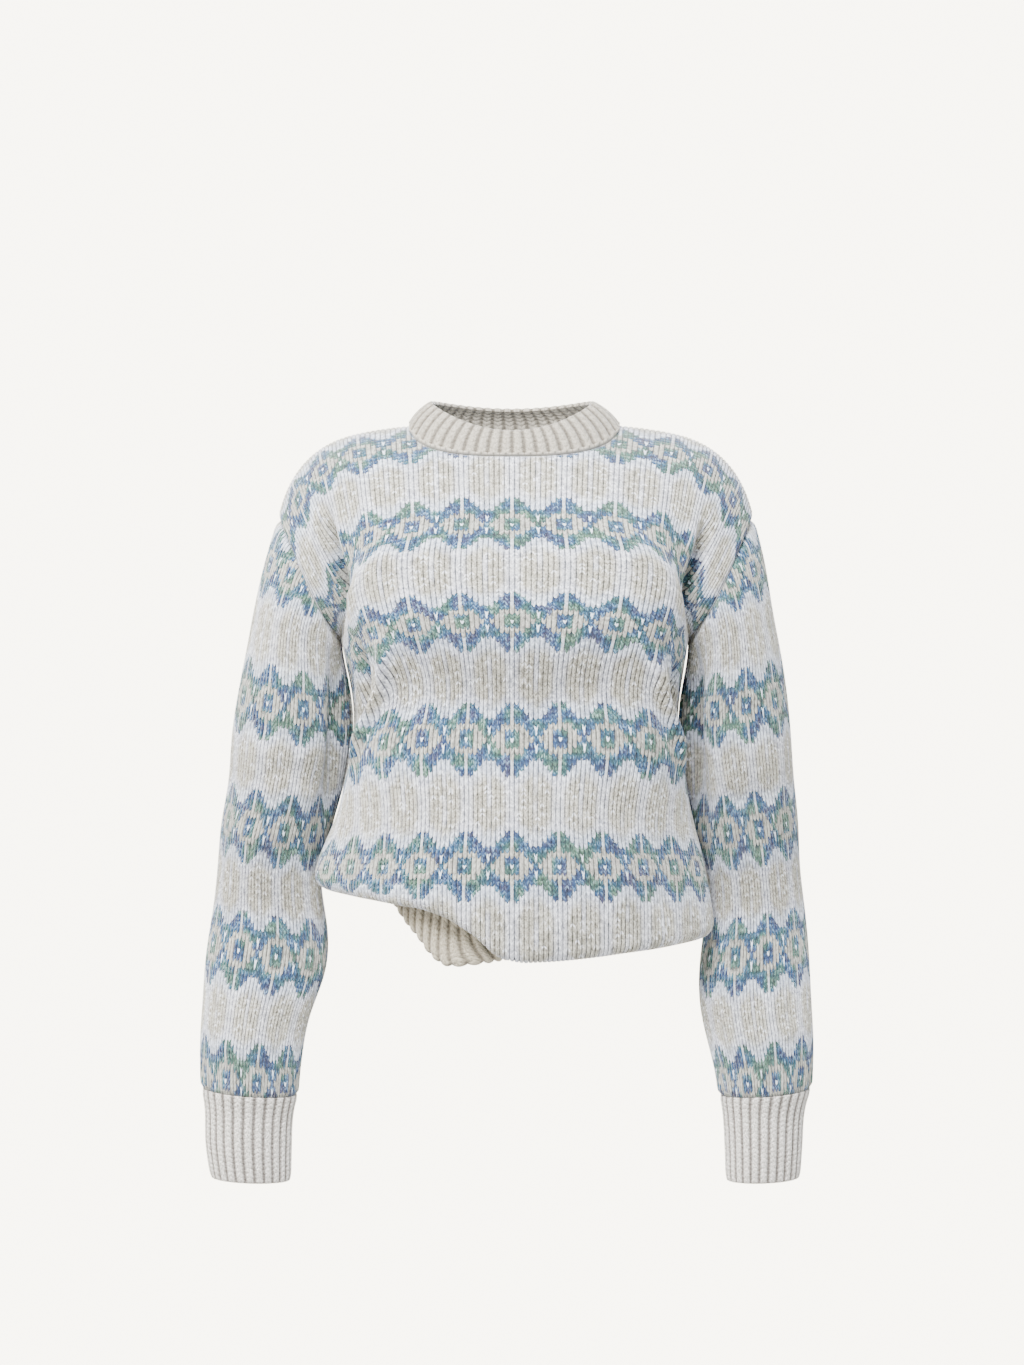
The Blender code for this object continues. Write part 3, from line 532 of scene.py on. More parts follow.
# Creases: a soft trough or ridge along a line of stitches and rows, with its half width, its
# height, and the share of its length over which it fades out at either end.
CREASES = ("piece", "start", "middle", "end", "half_width", "height", "fade")
FOLDS = (
    # In front of each armhole the chest turns into a deep valley, with a roll of cloth beyond it
    ("front", (-42, 106), (-46, 92), (-50, 74), 12, -20, 0.3),
    ("front", (-57, 106), (-58, 98), (-58, 90), 8, 3, 0.4),
    ("front", (-38, 104), (-40, 96), (-40, 88), 9, 3.5, 0.4),
    ("front", (44, 106), (48, 93), (52, 75), 12, -19, 0.3),
    ("front", (58, 106), (58, 98), (58, 90), 8, 2.6, 0.4),
    ("front", (39, 104), (41, 96), (41, 88), 9, 3, 0.4),
    # The edge of the bloused cloth at either side of the waist
    ("front", (-27, 68), (-33, 54), (-45, 36), 8, 11, 0.3),
    ("front", (-37, 69), (-42, 56), (-52, 41), 13, -13, 0.3),
    ("front", (31, 65), (36, 52), (47, 36), 8, 10, 0.3),
    ("front", (41, 66), (45, 55), (53, 41), 12, -11, 0.3),
    # Creases beside the sleeves in front, and a little fullness behind them, just clear of the sleeves
    ("front", (-54, 76), (-53, 62), (-54, 46), 12, -2.5, 0.3),
    ("front", (54, 76), (53, 62), (54, 47), 12, -2.5, 0.3),
    ("back", (-55, 78), (-54, 62), (-55, 44), 14, 1.8, 0.3),
    ("back", (55, 78), (54, 62), (55, 46), 14, 1.0, 0.3),
    # Drag lines from the underarms
    ("front", (-44, 74), (-38, 69), (-28, 67), 7, -2.2, 0.4),
    ("front", (44, 73), (37, 70), (29, 64), 7, -2.2, 0.4),
    ("front", (-42, 84), (-36, 80), (-28, 80), 8, 1.6, 0.4),
    # The hollow under the chest, and the drape of the blouse
    ("front", (-38, 57), (-4, 51), (33, 56), 38, -13, 0.25),
    ("front", (-33, 26), (-29, 16), (-31, 6), 12, -2.6, 0.35),
    ("front", (-16, 30), (-15, 18), (-18, 7), 13, 2.0, 0.35),
    ("front", (6, 27), (8, 15), (5, 4), 12, -2.2, 0.35),
    ("front", (22, 32), (24, 17), (22, 5), 14, 2.2, 0.35),
    ("front", (38, 29), (36, 17), (38, 6), 11, -2.8, 0.35),
    # Behind, the same valleys at the armholes, and cloth that sags above the waist
    ("back", (-44, 100), (-47, 88), (-48, 74), 10, -6.5, 0.35),
    ("back", (45, 102), (48, 89), (48, 75), 10, -7, 0.35),
    ("back", (-47, 68), (-36, 60), (-20, 58), 13, -3.2, 0.35),
    ("back", (48, 66), (38, 61), (24, 61), 12, -2.8, 0.35),
    ("back", (-34, 47), (-8, 42), (18, 45), 16, -3.6, 0.35),
    ("back", (-12, 33), (12, 29), (38, 34), 15, -3.0, 0.35),
    ("back", (-44, 32), (-40, 20), (-42, 8), 12, -2.8, 0.35),
    ("back", (-24, 30), (-22, 18), (-25, 6), 13, 2.2, 0.35),
    ("back", (-2, 26), (-4, 15), (-1, 5), 12, -2.4, 0.35),
    ("back", (30, 28), (27, 17), (31, 6), 14, 2.4, 0.35),
    ("back", (46, 27), (44, 16), (46, 7), 11, -2.6, 0.35),
    # Sleeves: angle round the arm from outside to the front, and height. Folds at the bend of the
    # elbow in front, long soft pulls down the back, and fullness above the cuffs.
    ("sleeve_right", (142, -170), (151, -265), (141, -385), 19, -18, 0.48),
    ("sleeve_right", (40, -255), (80, -272), (130, -262), 9, -2.6, 0.4),
    ("sleeve_right", (50, -318), (95, -304), (140, -322), 9, -3.2, 0.4),
    ("sleeve_right", (30, -352), (75, -366), (120, -350), 10, 2.2, 0.4),
    ("sleeve_right", (70, -400), (95, -430), (112, -470), 9, -2.4, 0.4),
    ("sleeve_right", (20, -300), (16, -370), (24, -450), 14, -2.2, 0.4),
    ("sleeve_right", (-60, -230), (-75, -310), (-66, -400), 14, -3.0, 0.4),
    ("sleeve_right", (-120, -260), (-100, -330), (-110, -420), 12, 2.4, 0.4),
    ("sleeve_right", (30, -548), (75, -556), (125, -546), 8, 2.0, 0.4),
    ("sleeve_left", (142, -165), (150, -260), (141, -380), 18, -18, 0.46),
    ("sleeve_left", (45, -262), (90, -250), (135, -270), 9, -2.4, 0.4),
    ("sleeve_left", (40, -312), (85, -330), (135, -316), 10, -3.0, 0.4),
    ("sleeve_left", (60, -372), (100, -388), (140, -380), 9, 2.0, 0.4),
    ("sleeve_left", (100, -300), (92, -380), (100, -470), 11, -2.6, 0.4),
    ("sleeve_left", (50, -220), (42, -290), (52, -360), 12, 2.4, 0.4),
    ("sleeve_left", (-50, -240), (-70, -320), (-60, -410), 14, -3.0, 0.4),
    ("sleeve_left", (-115, -250), (-98, -335), (-105, -430), 12, 2.2, 0.4),
    ("sleeve_left", (25, -552), (70, -544), (120, -556), 8, 2.0, 0.4),
)


def soft_line(u, v, start, middle, end, half_width, height, fade, wide=STITCH_WIDTH, tall=ROW_HEIGHT):
    """Height of one crease at stitches u and rows v."""
    t = np.linspace(0, 1, 25)[:, None]
    bend = 2 * np.array(middle, float) - (np.array(start, float) + np.array(end, float)) / 2
    line = (1 - t) ** 2 * np.array(start, float) + 2 * t * (1 - t) * bend + t**2 * np.array(end, float)
    best = np.full(u.shape, np.inf)
    place = np.zeros(u.shape)
    for (a, b), k in zip(zip(line[:-1], line[1:]), range(24)):
        step = (b - a) * (wide, tall)
        to = np.stack([(u - a[0]) * wide, (v - a[1]) * tall], axis=-1)
        share = np.clip((to @ step) / (step @ step), 0, 1)
        distance = np.linalg.norm(to - share[..., None] * step, axis=-1)
        nearer = distance < best
        best = np.where(nearer, distance, best)
        place = np.where(nearer, (k + share) / 24, place)
    ends = np.clip(np.minimum(place, 1 - place) / max(fade, 1e-3), 0, 1)
    ends = ends * ends * (3 - 2 * ends)
    return height * np.exp(-((best / half_width) ** 2)) * ends


def creased(piece, u, v, wide=STITCH_WIDTH, tall=ROW_HEIGHT):
    total = np.zeros(u.shape)
    for fold in FOLDS:
        if fold[0] == piece:
            total = total + soft_line(u, v, *fold[1:], wide, tall)
    return total


def grid_normals(points, closed):
    """Directions out of a grid of points, by the difference of its neighbours."""
    if closed:
        around = np.roll(points, -1, axis=1) - np.roll(points, 1, axis=1)
    else:
        around = np.gradient(points, axis=1)
    return unit(np.cross(around, np.gradient(points, axis=0)))


# ---------------------------------------------------------------- meshes


def loops_of(rows, count, ratio, closed, size):
    """Corners of a cloth shell as (index, row, column): outside, inside, then its edges."""
    across = count if closed else count - 1
    inner_across = across // ratio
    inner_count = inner_across if closed else inner_across + 1

    def outer_corner(v, u):
        return v * count + u % count, v, u

    def inner_corner(v, u):
        return size + v * inner_count + u % inner_count, v, u * ratio

    faces = []
    for v in range(rows - 1):
        for u in range(across):
            faces.append([outer_corner(v, u), outer_corner(v, u + 1), outer_corner(v + 1, u + 1), outer_corner(v + 1, u)])
        for u in range(inner_across):
            faces.append([inner_corner(v, u), inner_corner(v + 1, u), inner_corner(v + 1, u + 1), inner_corner(v, u + 1)])
    for v, turned in ((0, False), (rows - 1, True)):
        for u in range(inner_across):
            face = [inner_corner(v, u), inner_corner(v, u + 1)]
            face += [outer_corner(v, u * ratio + i) for i in range(ratio, -1, -1)]
            faces.append(face[::-1] if turned else face)
    if not closed:
        for u, turned in ((0, True), (inner_across, False)):
            for v in range(rows - 1):
                face = [inner_corner(v, u), inner_corner(v + 1, u), outer_corner(v + 1, u * ratio), outer_corner(v, u * ratio)]
                faces.append(face[::-1] if turned else face)
    return faces


def add_cloth(name, outer, inner, stitches, closed, material):
    """A knitted shell from its outer and inner points, with stitch and row as its UV map."""
    rows, count = outer.shape[:2]
    ratio = count // inner.shape[1] if closed else (count - 1) // (inner.shape[1] - 1)
    corners = loops_of(rows, count, ratio, closed, rows * count)
    points = np.concatenate([outer.reshape(-1, 3), inner.reshape(-1, 3)]) * MM
    a = outer[:-1, :-1]
    volume = (a * np.cross(outer[:-1, 1:] - a, outer[1:, :-1] - a)).sum()
    if volume < 0:
        corners = [face[::-1] for face in corners]
    mesh = bpy.data.meshes.new(name)
    mesh.from_pydata(points.tolist(), [], [[corner[0] for corner in face] for face in corners])
    flat = np.array([corner[1:] for face in corners for corner in face])
    layer = mesh.uv_layers.new(name="stitches")
    layer.data.foreach_set("uv", stitches[flat[:, 0], flat[:, 1]].astype(np.float32).ravel())
    mesh.shade_smooth()
    mesh.materials.append(material)
    piece = bpy.data.objects.new(name, mesh)
    bpy.context.scene.collection.objects.link(piece)
    return piece


# ---------------------------------------------------------------- body


def panel_wales():
    wales = (np.arange(-HALF_PANEL, HALF_PANEL)[:, None] + WALE_STEPS).ravel()
    return np.append(wales, HALF_PANEL)


def panel_shape(back):
    """Stitches, rows, points and directions of the front or back, a row of points a course."""
    stitch = panel_wales()
    top = neck_row(back, stitch)
    low = np.concatenate([np.arange(SEAM_ROW, 16, 0.5), np.arange(16, UNDERARM_ROW)])
    upper = np.linspace(0, 1, 50)
    rows = np.concatenate([
        np.repeat(low[:, None], len(stitch), axis=1),
        UNDERARM_ROW + upper[:, None] * (top - UNDERARM_ROW),
    ])
    stitches = np.broadcast_to(stitch, rows.shape)
    points = body_point(back, rows, stitches)
    facing = 1 if back else -1
    first = len(low)
    directions = grid_normals(points, False) * (-1 if back else 1)
    points = points + directions * (creased("back" if back else "front", stitches, rows) * edge_fade(stitches, rows, top))[..., None]
    directions = grid_normals(points, False) * (-1 if back else 1)
    dip = np.exp(-(((HALF_PANEL - np.abs(stitches[first:])) * STITCH_WIDTH / SEAM_WIDTH) ** 2))
    dip = dip * seam_dip(armhole_angles(upper))[:, None]
    points[first:] = points[first:] - directions[first:] * dip[..., None]
    for side, edge in ((-1, 0), (1, -1)):
        angle = armhole_angles(upper) * -facing
        loop, away, outward = armhole_frame(side, angle)
        points[first:, edge] = loop - away * SEAM_GAP / 2 - outward * seam_dip(angle)[:, None]
        directions[first:, edge] = outward
        points[:first, edge, 1] = SIDE_SEAM_Y
        points[:first, edge, 1] += facing * SEAM_GAP / 2
    shoulder = np.abs(stitch) > NECK_HALF - 0.1
    points[-1, shoulder, 1] += facing * SEAM_GAP / 2
    return stitch, rows, points, directions


def seam_dip(angle):
    """Depth of the armhole seam at an angle round the sleeve: it rises to nothing at the underarm."""
    return SEAM_DIP * np.clip((np.pi - np.abs(angle)) / 0.3, 0, 1)


def edge_fade(stitches, rows, top):
    """1 over the piece, easing to 0 at its edges."""
    from_side = (HALF_PANEL - np.abs(stitches)) / 5
    from_ends = np.minimum((rows - SEAM_ROW) / 6, (top - rows) / 6)
    share = np.clip(np.minimum(from_side, from_ends), 0, 1)
    return share * share * (3 - 2 * share)


def add_panel(back, material):
    stitch, rows, points, directions = panel_shape(back)
    rise = np.append(np.tile(WALE_RISE, int(2 * HALF_PANEL)), WALE_RISE[0])
    rise = np.broadcast_to(rise, rows.shape).copy()
    rise[[0, -1]] = -0.3
    rise[:, [0, -1]] = -0.5
    outer = points + directions * rise[..., None]
    inner = (points - directions * (WALL - 0.5))[:, ::8]
    chart_rows = spline([course for course, _ in STRETCHED], [row for _, row in STRETCHED], rows)
    stitches = np.stack([np.broadcast_to(stitch, rows.shape), chart_rows], axis=-1)
    name = "knitted_back" if back else "knitted_front"
    piece = add_cloth(name, outer, inner, stitches, False, material)
    return piece, (stitch, points, directions)


# ---------------------------------------------------------------- sleeves and cuffs


def add_sleeve(side, material):
    wales = SLEEVE_WALES[side]
    pitch = 360.0 / wales
    first_wale = int(np.ceil((-180.0 - SLEEVE_AXIS[side]) / pitch))
    stitch = (first_wale + np.arange(wales)[:, None] + WALE_STEPS).ravel()
    angle = np.radians(SLEEVE_AXIS[side] + stitch * pitch)
    wrapped = (angle + np.pi) % (2 * np.pi) - np.pi
    share = np.linspace(0, 1, 36)[:, None]
    cap = cap_height(wrapped) * (1 - share) + SLEEVE_LEVEL_Z * share
    level = np.linspace(SLEEVE_LEVEL_Z, SLEEVE[-1][0], 84)[1:, None]
    height = np.concatenate([cap, np.repeat(level, len(angle), axis=1)])
    angles = np.broadcast_to(wrapped, height.shape)
    base = tube(SLEEVE, side, angles, height)
    rows = spline([h for h, _ in SLEEVE_ROWS], [row for _, row in SLEEVE_ROWS], height)
    loop, away, outward = armhole_frame(side, wrapped)
    base[0] = loop + away * SEAM_GAP / 2
    directions = grid_normals(base, True)
    directions = directions * np.sign((directions * (base - base.mean(axis=1, keepdims=True))).sum(axis=-1).mean())
    stitches = np.broadcast_to(stitch, height.shape)
    name = "sleeve_" + side_name(side)
    end = np.clip(np.minimum(np.arange(len(height)), np.arange(len(height))[::-1]) / 5, 0, 1)[:, None]
    degrees = np.degrees(angles)
    from_seam = np.linalg.norm(base - base[:1], axis=-1)
    gathers = GATHER * np.sin(angle * 13 + 1.5 * np.sin(angle * 3)) * np.exp((SLEEVE[-1][0] - height) / 16)
    depth = creased(name, degrees, height, 0.9, 1.0) * end - seam_dip(wrapped) * np.exp(-((from_seam / SEAM_WIDTH) ** 2))
    depth = depth + gathers * np.clip((height - SLEEVE[-1][0]) / 6, 0, 1)
    base = base + directions * depth[..., None]
    directions = grid_normals(base, True)
    directions = directions * np.sign((directions * (base - base.mean(axis=1, keepdims=True))).sum(axis=-1).mean())
    directions[0] = outward
    base[0] = loop + away * SEAM_GAP / 2 - outward * seam_dip(wrapped)[:, None]
    rise = np.broadcast_to(np.tile(WALE_RISE, wales), height.shape).copy()
    rise[[0, -1]] = -0.4
    outer = base + directions * rise[..., None]
    inner = (base - directions * (WALL - 0.5))[:, ::4]
    uv = np.stack([stitches, rows], axis=-1)
    uv = np.concatenate([uv, uv[:, :1] + (wales, 0)], axis=1)
    return add_cloth("knitted_" + name, outer, inner, uv, True, material)


RIB_POINTS = 8
RIB_PROFILE = np.sin(np.pi * np.arange(RIB_POINTS) / RIB_POINTS) ** 0.8


def add_cuff(side, material):
    count = CUFF_RIBS * RIB_POINTS
    angle = np.arange(count) * 2 * np.pi / count
    heights = np.concatenate([[-598.4, -600], np.linspace(-604, -674, 18), [-677, -678]])
    base = tube(CUFF, side, angle[None], heights[:, None])
    behind = tube(CUFF, side, angle[None], heights[:, None], WALL)
    directions = unit(base - behind)
    rise = RIB_HEIGHT * np.interp(heights, [-678, -676, -670, -602, -598.4], [0.35, 0.8, 1, 0.9, 0.1])
    outer = base + directions * (rise[:, None] * np.tile(RIB_PROFILE, CUFF_RIBS))[..., None]
    ribs = np.broadcast_to(np.arange(count + 1) / RIB_POINTS, (len(heights), count + 1))
    rows = np.broadcast_to(-heights[:, None] / ROW_HEIGHT, ribs.shape)
    name = "knitted_cuff_" + side_name(side)
    return add_cloth(name, outer, behind[:, ::4], np.stack([ribs, rows], axis=-1), True, material)


# ---------------------------------------------------------------- neckband


def neck_loop(front, back):
    """The neck edge as a closed loop from the centre front, with its directions."""
    points = []
    directions = []
    for (stitch, grid, normals), reverse in ((front, False), (back, True)):
        near = np.abs(stitch) < NECK_HALF + 0.1
        points.append(grid[-1, near][::-1] if reverse else grid[-1, near])
        directions.append(normals[-1, near][::-1] if reverse else normals[-1, near])
    return [np.concatenate([pair[0][:-1], pair[1]]) for pair in (points, directions)]


def add_neckband(front, back, material):
    seam, seam_normals = neck_loop(front, back)
    start = travelled(seam)
    half = len(seam) // 2
    centre_front = np.interp(0, seam[:half, 0], start[:half])
    count = NECK_RIBS * RIB_POINTS
    wanted = (centre_front + np.arange(count) / count * start[-1]) % start[-1]
    low = np.stack([np.interp(wanted, start, column) for column in seam.T], axis=-1)
    low_normals = unit(np.stack([np.interp(wanted, start, column) for column in seam_normals.T], axis=-1))

    turn = np.linspace(0, 2 * np.pi, 721)
    facing = np.cos(turn)
    y = np.where(facing > 0, NECK_TOP_FRONT_Y, NECK_TOP_BACK_Y) * np.abs(facing)
    end_z = np.where(facing > 0, NECK_TOP_FRONT_Z, NECK_TOP_BACK_Z)
    z = NECK_TOP_SIDE_Z + (end_z - NECK_TOP_SIDE_Z) * facing**2
    top = along(np.stack([NECK_TOP_HALF * np.sin(turn), y, z], axis=-1), np.arange(count) / count)

    way = unit(top - low)
    low = low + way * 2 * SEAM_GAP
    outward = unit(low * np.array([1, 1, 0]) - np.array([0, 5, 0])) + np.array([0, 0, 0.6])
    shares = np.concatenate([[0, 0.03, 0.06, 0.1], np.linspace(0.14, 0.9, 12), [0.94, 0.97, 0.99, 1]])
    rows = []
    for share in shares:
        bulge = NECK_BULGE * np.sin(np.pi * share)
        rows.append(low + (top - low) * share + unit(outward) * bulge)
    base = np.array(rows)
    directions = grid_normals(base, True)
    directions = directions * np.sign((directions * outward).sum(axis=-1, keepdims=True))
    blend = np.clip(shares / 0.12, 0, 1)[:, None, None]
    directions = unit(directions * blend + low_normals * (1 - blend))
    rise = RIB_HEIGHT * np.interp(shares, [0, 0.1, 0.9, 0.97, 1], [0.1, 1, 1, 0.8, 0.3])
    rolled = 1.5 * np.exp(-(((shares - 0.05) / 0.035) ** 2))
    outer = base + directions * (rise[:, None] * np.tile(RIB_PROFILE, NECK_RIBS) + rolled[:, None])[..., None]
    inner = (base - directions * WALL)[:, ::4]
    ribs = np.broadcast_to(np.arange(count + 1) / RIB_POINTS, (len(shares), count + 1))
    rows = np.broadcast_to(shares[:, None] * 5.5, ribs.shape)
    return add_cloth("knitted_neckband", outer, inner, np.stack([ribs, rows], axis=-1), True, material)


# ---------------------------------------------------------------- hem band


def band_line(back, stitch):
    """Points of the hem band's furrow surface down from its seam, and how far down each is."""
    radius, start_row, start_z, length = hem_values(back, np.array(float(stitch)))
    drop = BAND_HANG[0][1] if back else float(eased(BAND, BAND_HANG, "drop", stitch))
    pull = 0.0 if back else float(eased(BAND, BAND_HANG, "pull", stitch))
    upright = float(length - np.pi * radius)
    start = body_point(back, start_row, stitch)
    behind = float(2 * radius + lean(start) * upright)
    way = band_way(behind, float(radius) + upright, drop)
    steps = travelled(way)
    low = steps[5]
    end = max(BAND_WIDTH, low + 15)
    distance = np.concatenate([
        [2, 4, 6, 8.5, 11, 13],
        np.linspace(13, low, 10)[1:],
        low + np.array([1.2, 2.5, 3.7, 5, 6.5, 8, 9.2, 10.5]),
        np.linspace(low + 10.5, end, 7)[1:],
    ])
    inset = spline(steps, way[:, 0], distance)
    height = spline(steps, way[:, 1], distance) + start_z - radius
    pulled = np.clip(distance / low, 0, 1) * pull / STITCH_WIDTH
    base = body_point(back, start_row, stitch - pulled)
    base = base + inset[:, None] * inward(base)
    return np.stack([base[:, 0], base[:, 1], height], axis=-1), distance


def add_hem_band(front, back, material):
    half = RIBS_A_PANEL // 2
    steps = RIBS_A_PANEL * RIB_POINTS
    places = [(False, (k / RIB_POINTS - half) * RIB_STITCHES) for k in range(steps)]
    places += [(True, (half - k / RIB_POINTS) * RIB_STITCHES) for k in range(steps)]
    columns = []
    lengths = []
    for is_back, stitch in places:
        stitches, grid, _ = back if is_back else front
        seam = np.array([np.interp(stitch, stitches, grid[0, :, axis]) for axis in range(3)])
        line, distance = band_line(is_back, stitch)
        columns.append(np.concatenate([[seam + unit(line[0] - seam) * 2 * SEAM_GAP], line]))
        lengths.append(np.append(0, distance))
    base = np.array(columns).transpose(1, 0, 2)
    plain = base[:, :steps].copy()
    place = np.arange(steps)
    leaning = eased(LEAN, BAND_LEAN, "stitches", np.array([stitch for _, stitch in places[:steps]])) * RIB_POINTS / RIB_STITCHES
    for row, share in enumerate(np.clip(np.array(lengths)[0] / 45, 0, 1)):
        for axis in range(3):
            base[row, :steps, axis] = np.interp(place + share * leaning, place, plain[row, :, axis])
    directions = -grid_normals(base, True)
    rise = np.full(len(base), RIB_HEIGHT)
    rise[0] = 0.1
    rise[-1] = 0.5
    outer = base + directions * (rise[:, None] * np.tile(RIB_PROFILE, 2 * RIBS_A_PANEL))[..., None]
    inner = (base - directions * WALL)[:, ::4]
    ribs = np.broadcast_to(np.arange(2 * steps + 1) / RIB_POINTS, (len(base), 2 * steps + 1))
    rows = np.array(lengths + lengths[:1]).T / ROW_HEIGHT
    return add_cloth("knitted_hem_band", outer, inner, np.stack([ribs, rows], axis=-1), True, material)


# ---------------------------------------------------------------- yarn and stitches


class Group:
    """A shader node group, built a node at a time."""

    def __init__(self, name):
        self.tree = bpy.data.node_groups.new(name, "ShaderNodeTree")
        self.start = self.tree.nodes.new("NodeGroupInput")
        self.end = self.tree.nodes.new("NodeGroupOutput")

    def takes(self, name, kind, value=None):
        socket = self.tree.interface.new_socket(name=name, in_out="INPUT", socket_type=kind)
        if value is not None:
            socket.default_value = value
        return self.start.outputs[name]

    def gives(self, name, kind, source):
        self.tree.interface.new_socket(name=name, in_out="OUTPUT", socket_type=kind)
        self.tree.links.new(source, self.end.inputs[name])

    def plug(self, socket, value):
        if isinstance(value, bpy.types.NodeSocket):
            self.tree.links.new(value, socket)
        else:
            socket.default_value = value

    def math(self, operation, a, b=0.0, c=0.0):
        made = self.tree.nodes.new("ShaderNodeMath")
        made.operation = operation
        for socket, value in zip(made.inputs, (a, b, c)):
            self.plug(socket, value)
        return made.outputs[0]

    def plus(self, a, b):
        return self.math("ADD", a, b)

    def minus(self, a, b):
        return self.math("SUBTRACT", a, b)

    def times(self, a, b):
        return self.math("MULTIPLY", a, b)

    def blend(self, share, a, b, kind="MIX"):
        made = self.tree.nodes.new("ShaderNodeMix")
        made.data_type = "RGBA"
        made.blend_type = kind
        self.plug(made.inputs[0], share)
        self.plug(made.inputs[6], a)
        self.plug(made.inputs[7], b)
        return made.outputs[2]

    def vector(self, x, y, z=0.0):
        made = self.tree.nodes.new("ShaderNodeCombineXYZ")
        for socket, value in zip(made.inputs, (x, y, z)):
            self.plug(socket, value)
        return made.outputs[0]

    def split(self, vector):
        made = self.tree.nodes.new("ShaderNodeSeparateXYZ")
        self.plug(made.inputs[0], vector)
        return made.outputs

    def noise(self, vector, scale, detail=2.0, roughness=0.5):
        made = self.tree.nodes.new("ShaderNodeTexNoise")
        self.plug(made.inputs["Vector"], vector)
        made.inputs["Scale"].default_value = scale
        made.inputs["Detail"].default_value = detail
        made.inputs["Roughness"].default_value = roughness
        return made.outputs

    def random(self, vector):
        made = self.tree.nodes.new("ShaderNodeTexWhiteNoise")
        made.noise_dimensions = "3D"
        self.plug(made.inputs["Vector"], vector)
        return made.outputs

    def ramp(self, value, stops, interpolation="LINEAR"):
        made = self.tree.nodes.new("ShaderNodeValToRGB")
        made.color_ramp.interpolation = interpolation
        elements = made.color_ramp.elements
        while len(elements) < len(stops):
            elements.new(0.5)
        for element, (position, colour) in zip(elements, stops):
            element.position = position
            element.color = colour
        self.plug(made.inputs[0], value)
        return made.outputs[0]

    def between(self, value, low, high):
        """0 at low, 1 at high, eased."""
        made = self.tree.nodes.new("ShaderNodeMapRange")
        made.interpolation_type = "SMOOTHSTEP"
        self.plug(made.inputs[0], value)
        self.plug(made.inputs[1], low)
        self.plug(made.inputs[2], high)
        return made.outputs[0]


# The ten-stitch chart, mirrored about its axis and about its middle row. A row of it is read from
# the axis outwards: B blue, W white, c cream and . plain.
CHART = (
    "WBcccB",
    "BBccBW",
    "cccBBW",
    "cBBBBB",
    "WBBB..",
    "WBB...",
    "WB....",
)
CHART_WIDTH = 10
CHART_REPEAT = 25
CHART_ROW = 17


def chart_codes(letter):
    return [sum(2**k for k, mark in enumerate(row) if mark == letter) for row in CHART]


# Yarn colours: base colour of each, as red, green and blue.
YARN = {
    "cool_light": (0.92, 0.94, 1.0),
    "cool": (0.60, 0.62, 0.70),
    "cool_shade": (0.28, 0.295, 0.36),
    "warm_light": (0.76, 0.74, 0.67),
    "warm": (0.46, 0.44, 0.37),
    "warm_shade": (0.20, 0.188, 0.15),
    "heather": (0.14, 0.132, 0.108),
    "white": (0.86, 0.89, 0.96),
    "cream_light": (0.70, 0.665, 0.58),
    "cream": (0.43, 0.40, 0.34),
    "cream_shade": (0.19, 0.18, 0.16),
    "pink": (0.44, 0.38, 0.35),
    "steel": (0.034, 0.086, 0.185),
    "teal": (0.030, 0.100, 0.155),
    "green": (0.044, 0.122, 0.112),
    "moss": (0.085, 0.160, 0.100),
    "violet": (0.066, 0.062, 0.122),
    "deep": (0.033, 0.064, 0.158),
    "navy": (0.024, 0.029, 0.046),
    "sky": (0.27, 0.44, 0.62),
    "mint": (0.30, 0.46, 0.42),
    "rib": (0.49, 0.455, 0.385),
    "rib_shade": (0.27, 0.245, 0.20),
    "hem": (0.57, 0.515, 0.40),
    "hem_shade": (0.27, 0.24, 0.18),
    # Painted light: the cuff yarn and its darker strand are made far lighter than the other ribbing, standing in for
    # the light on the cuffs; a little of the difference is a cooler tone
    "cuff": (0.95, 0.92, 0.88),
    "cuff_shade": (0.34, 0.315, 0.28),
}


def yarn(name):
    return (*YARN[name], 1.0)


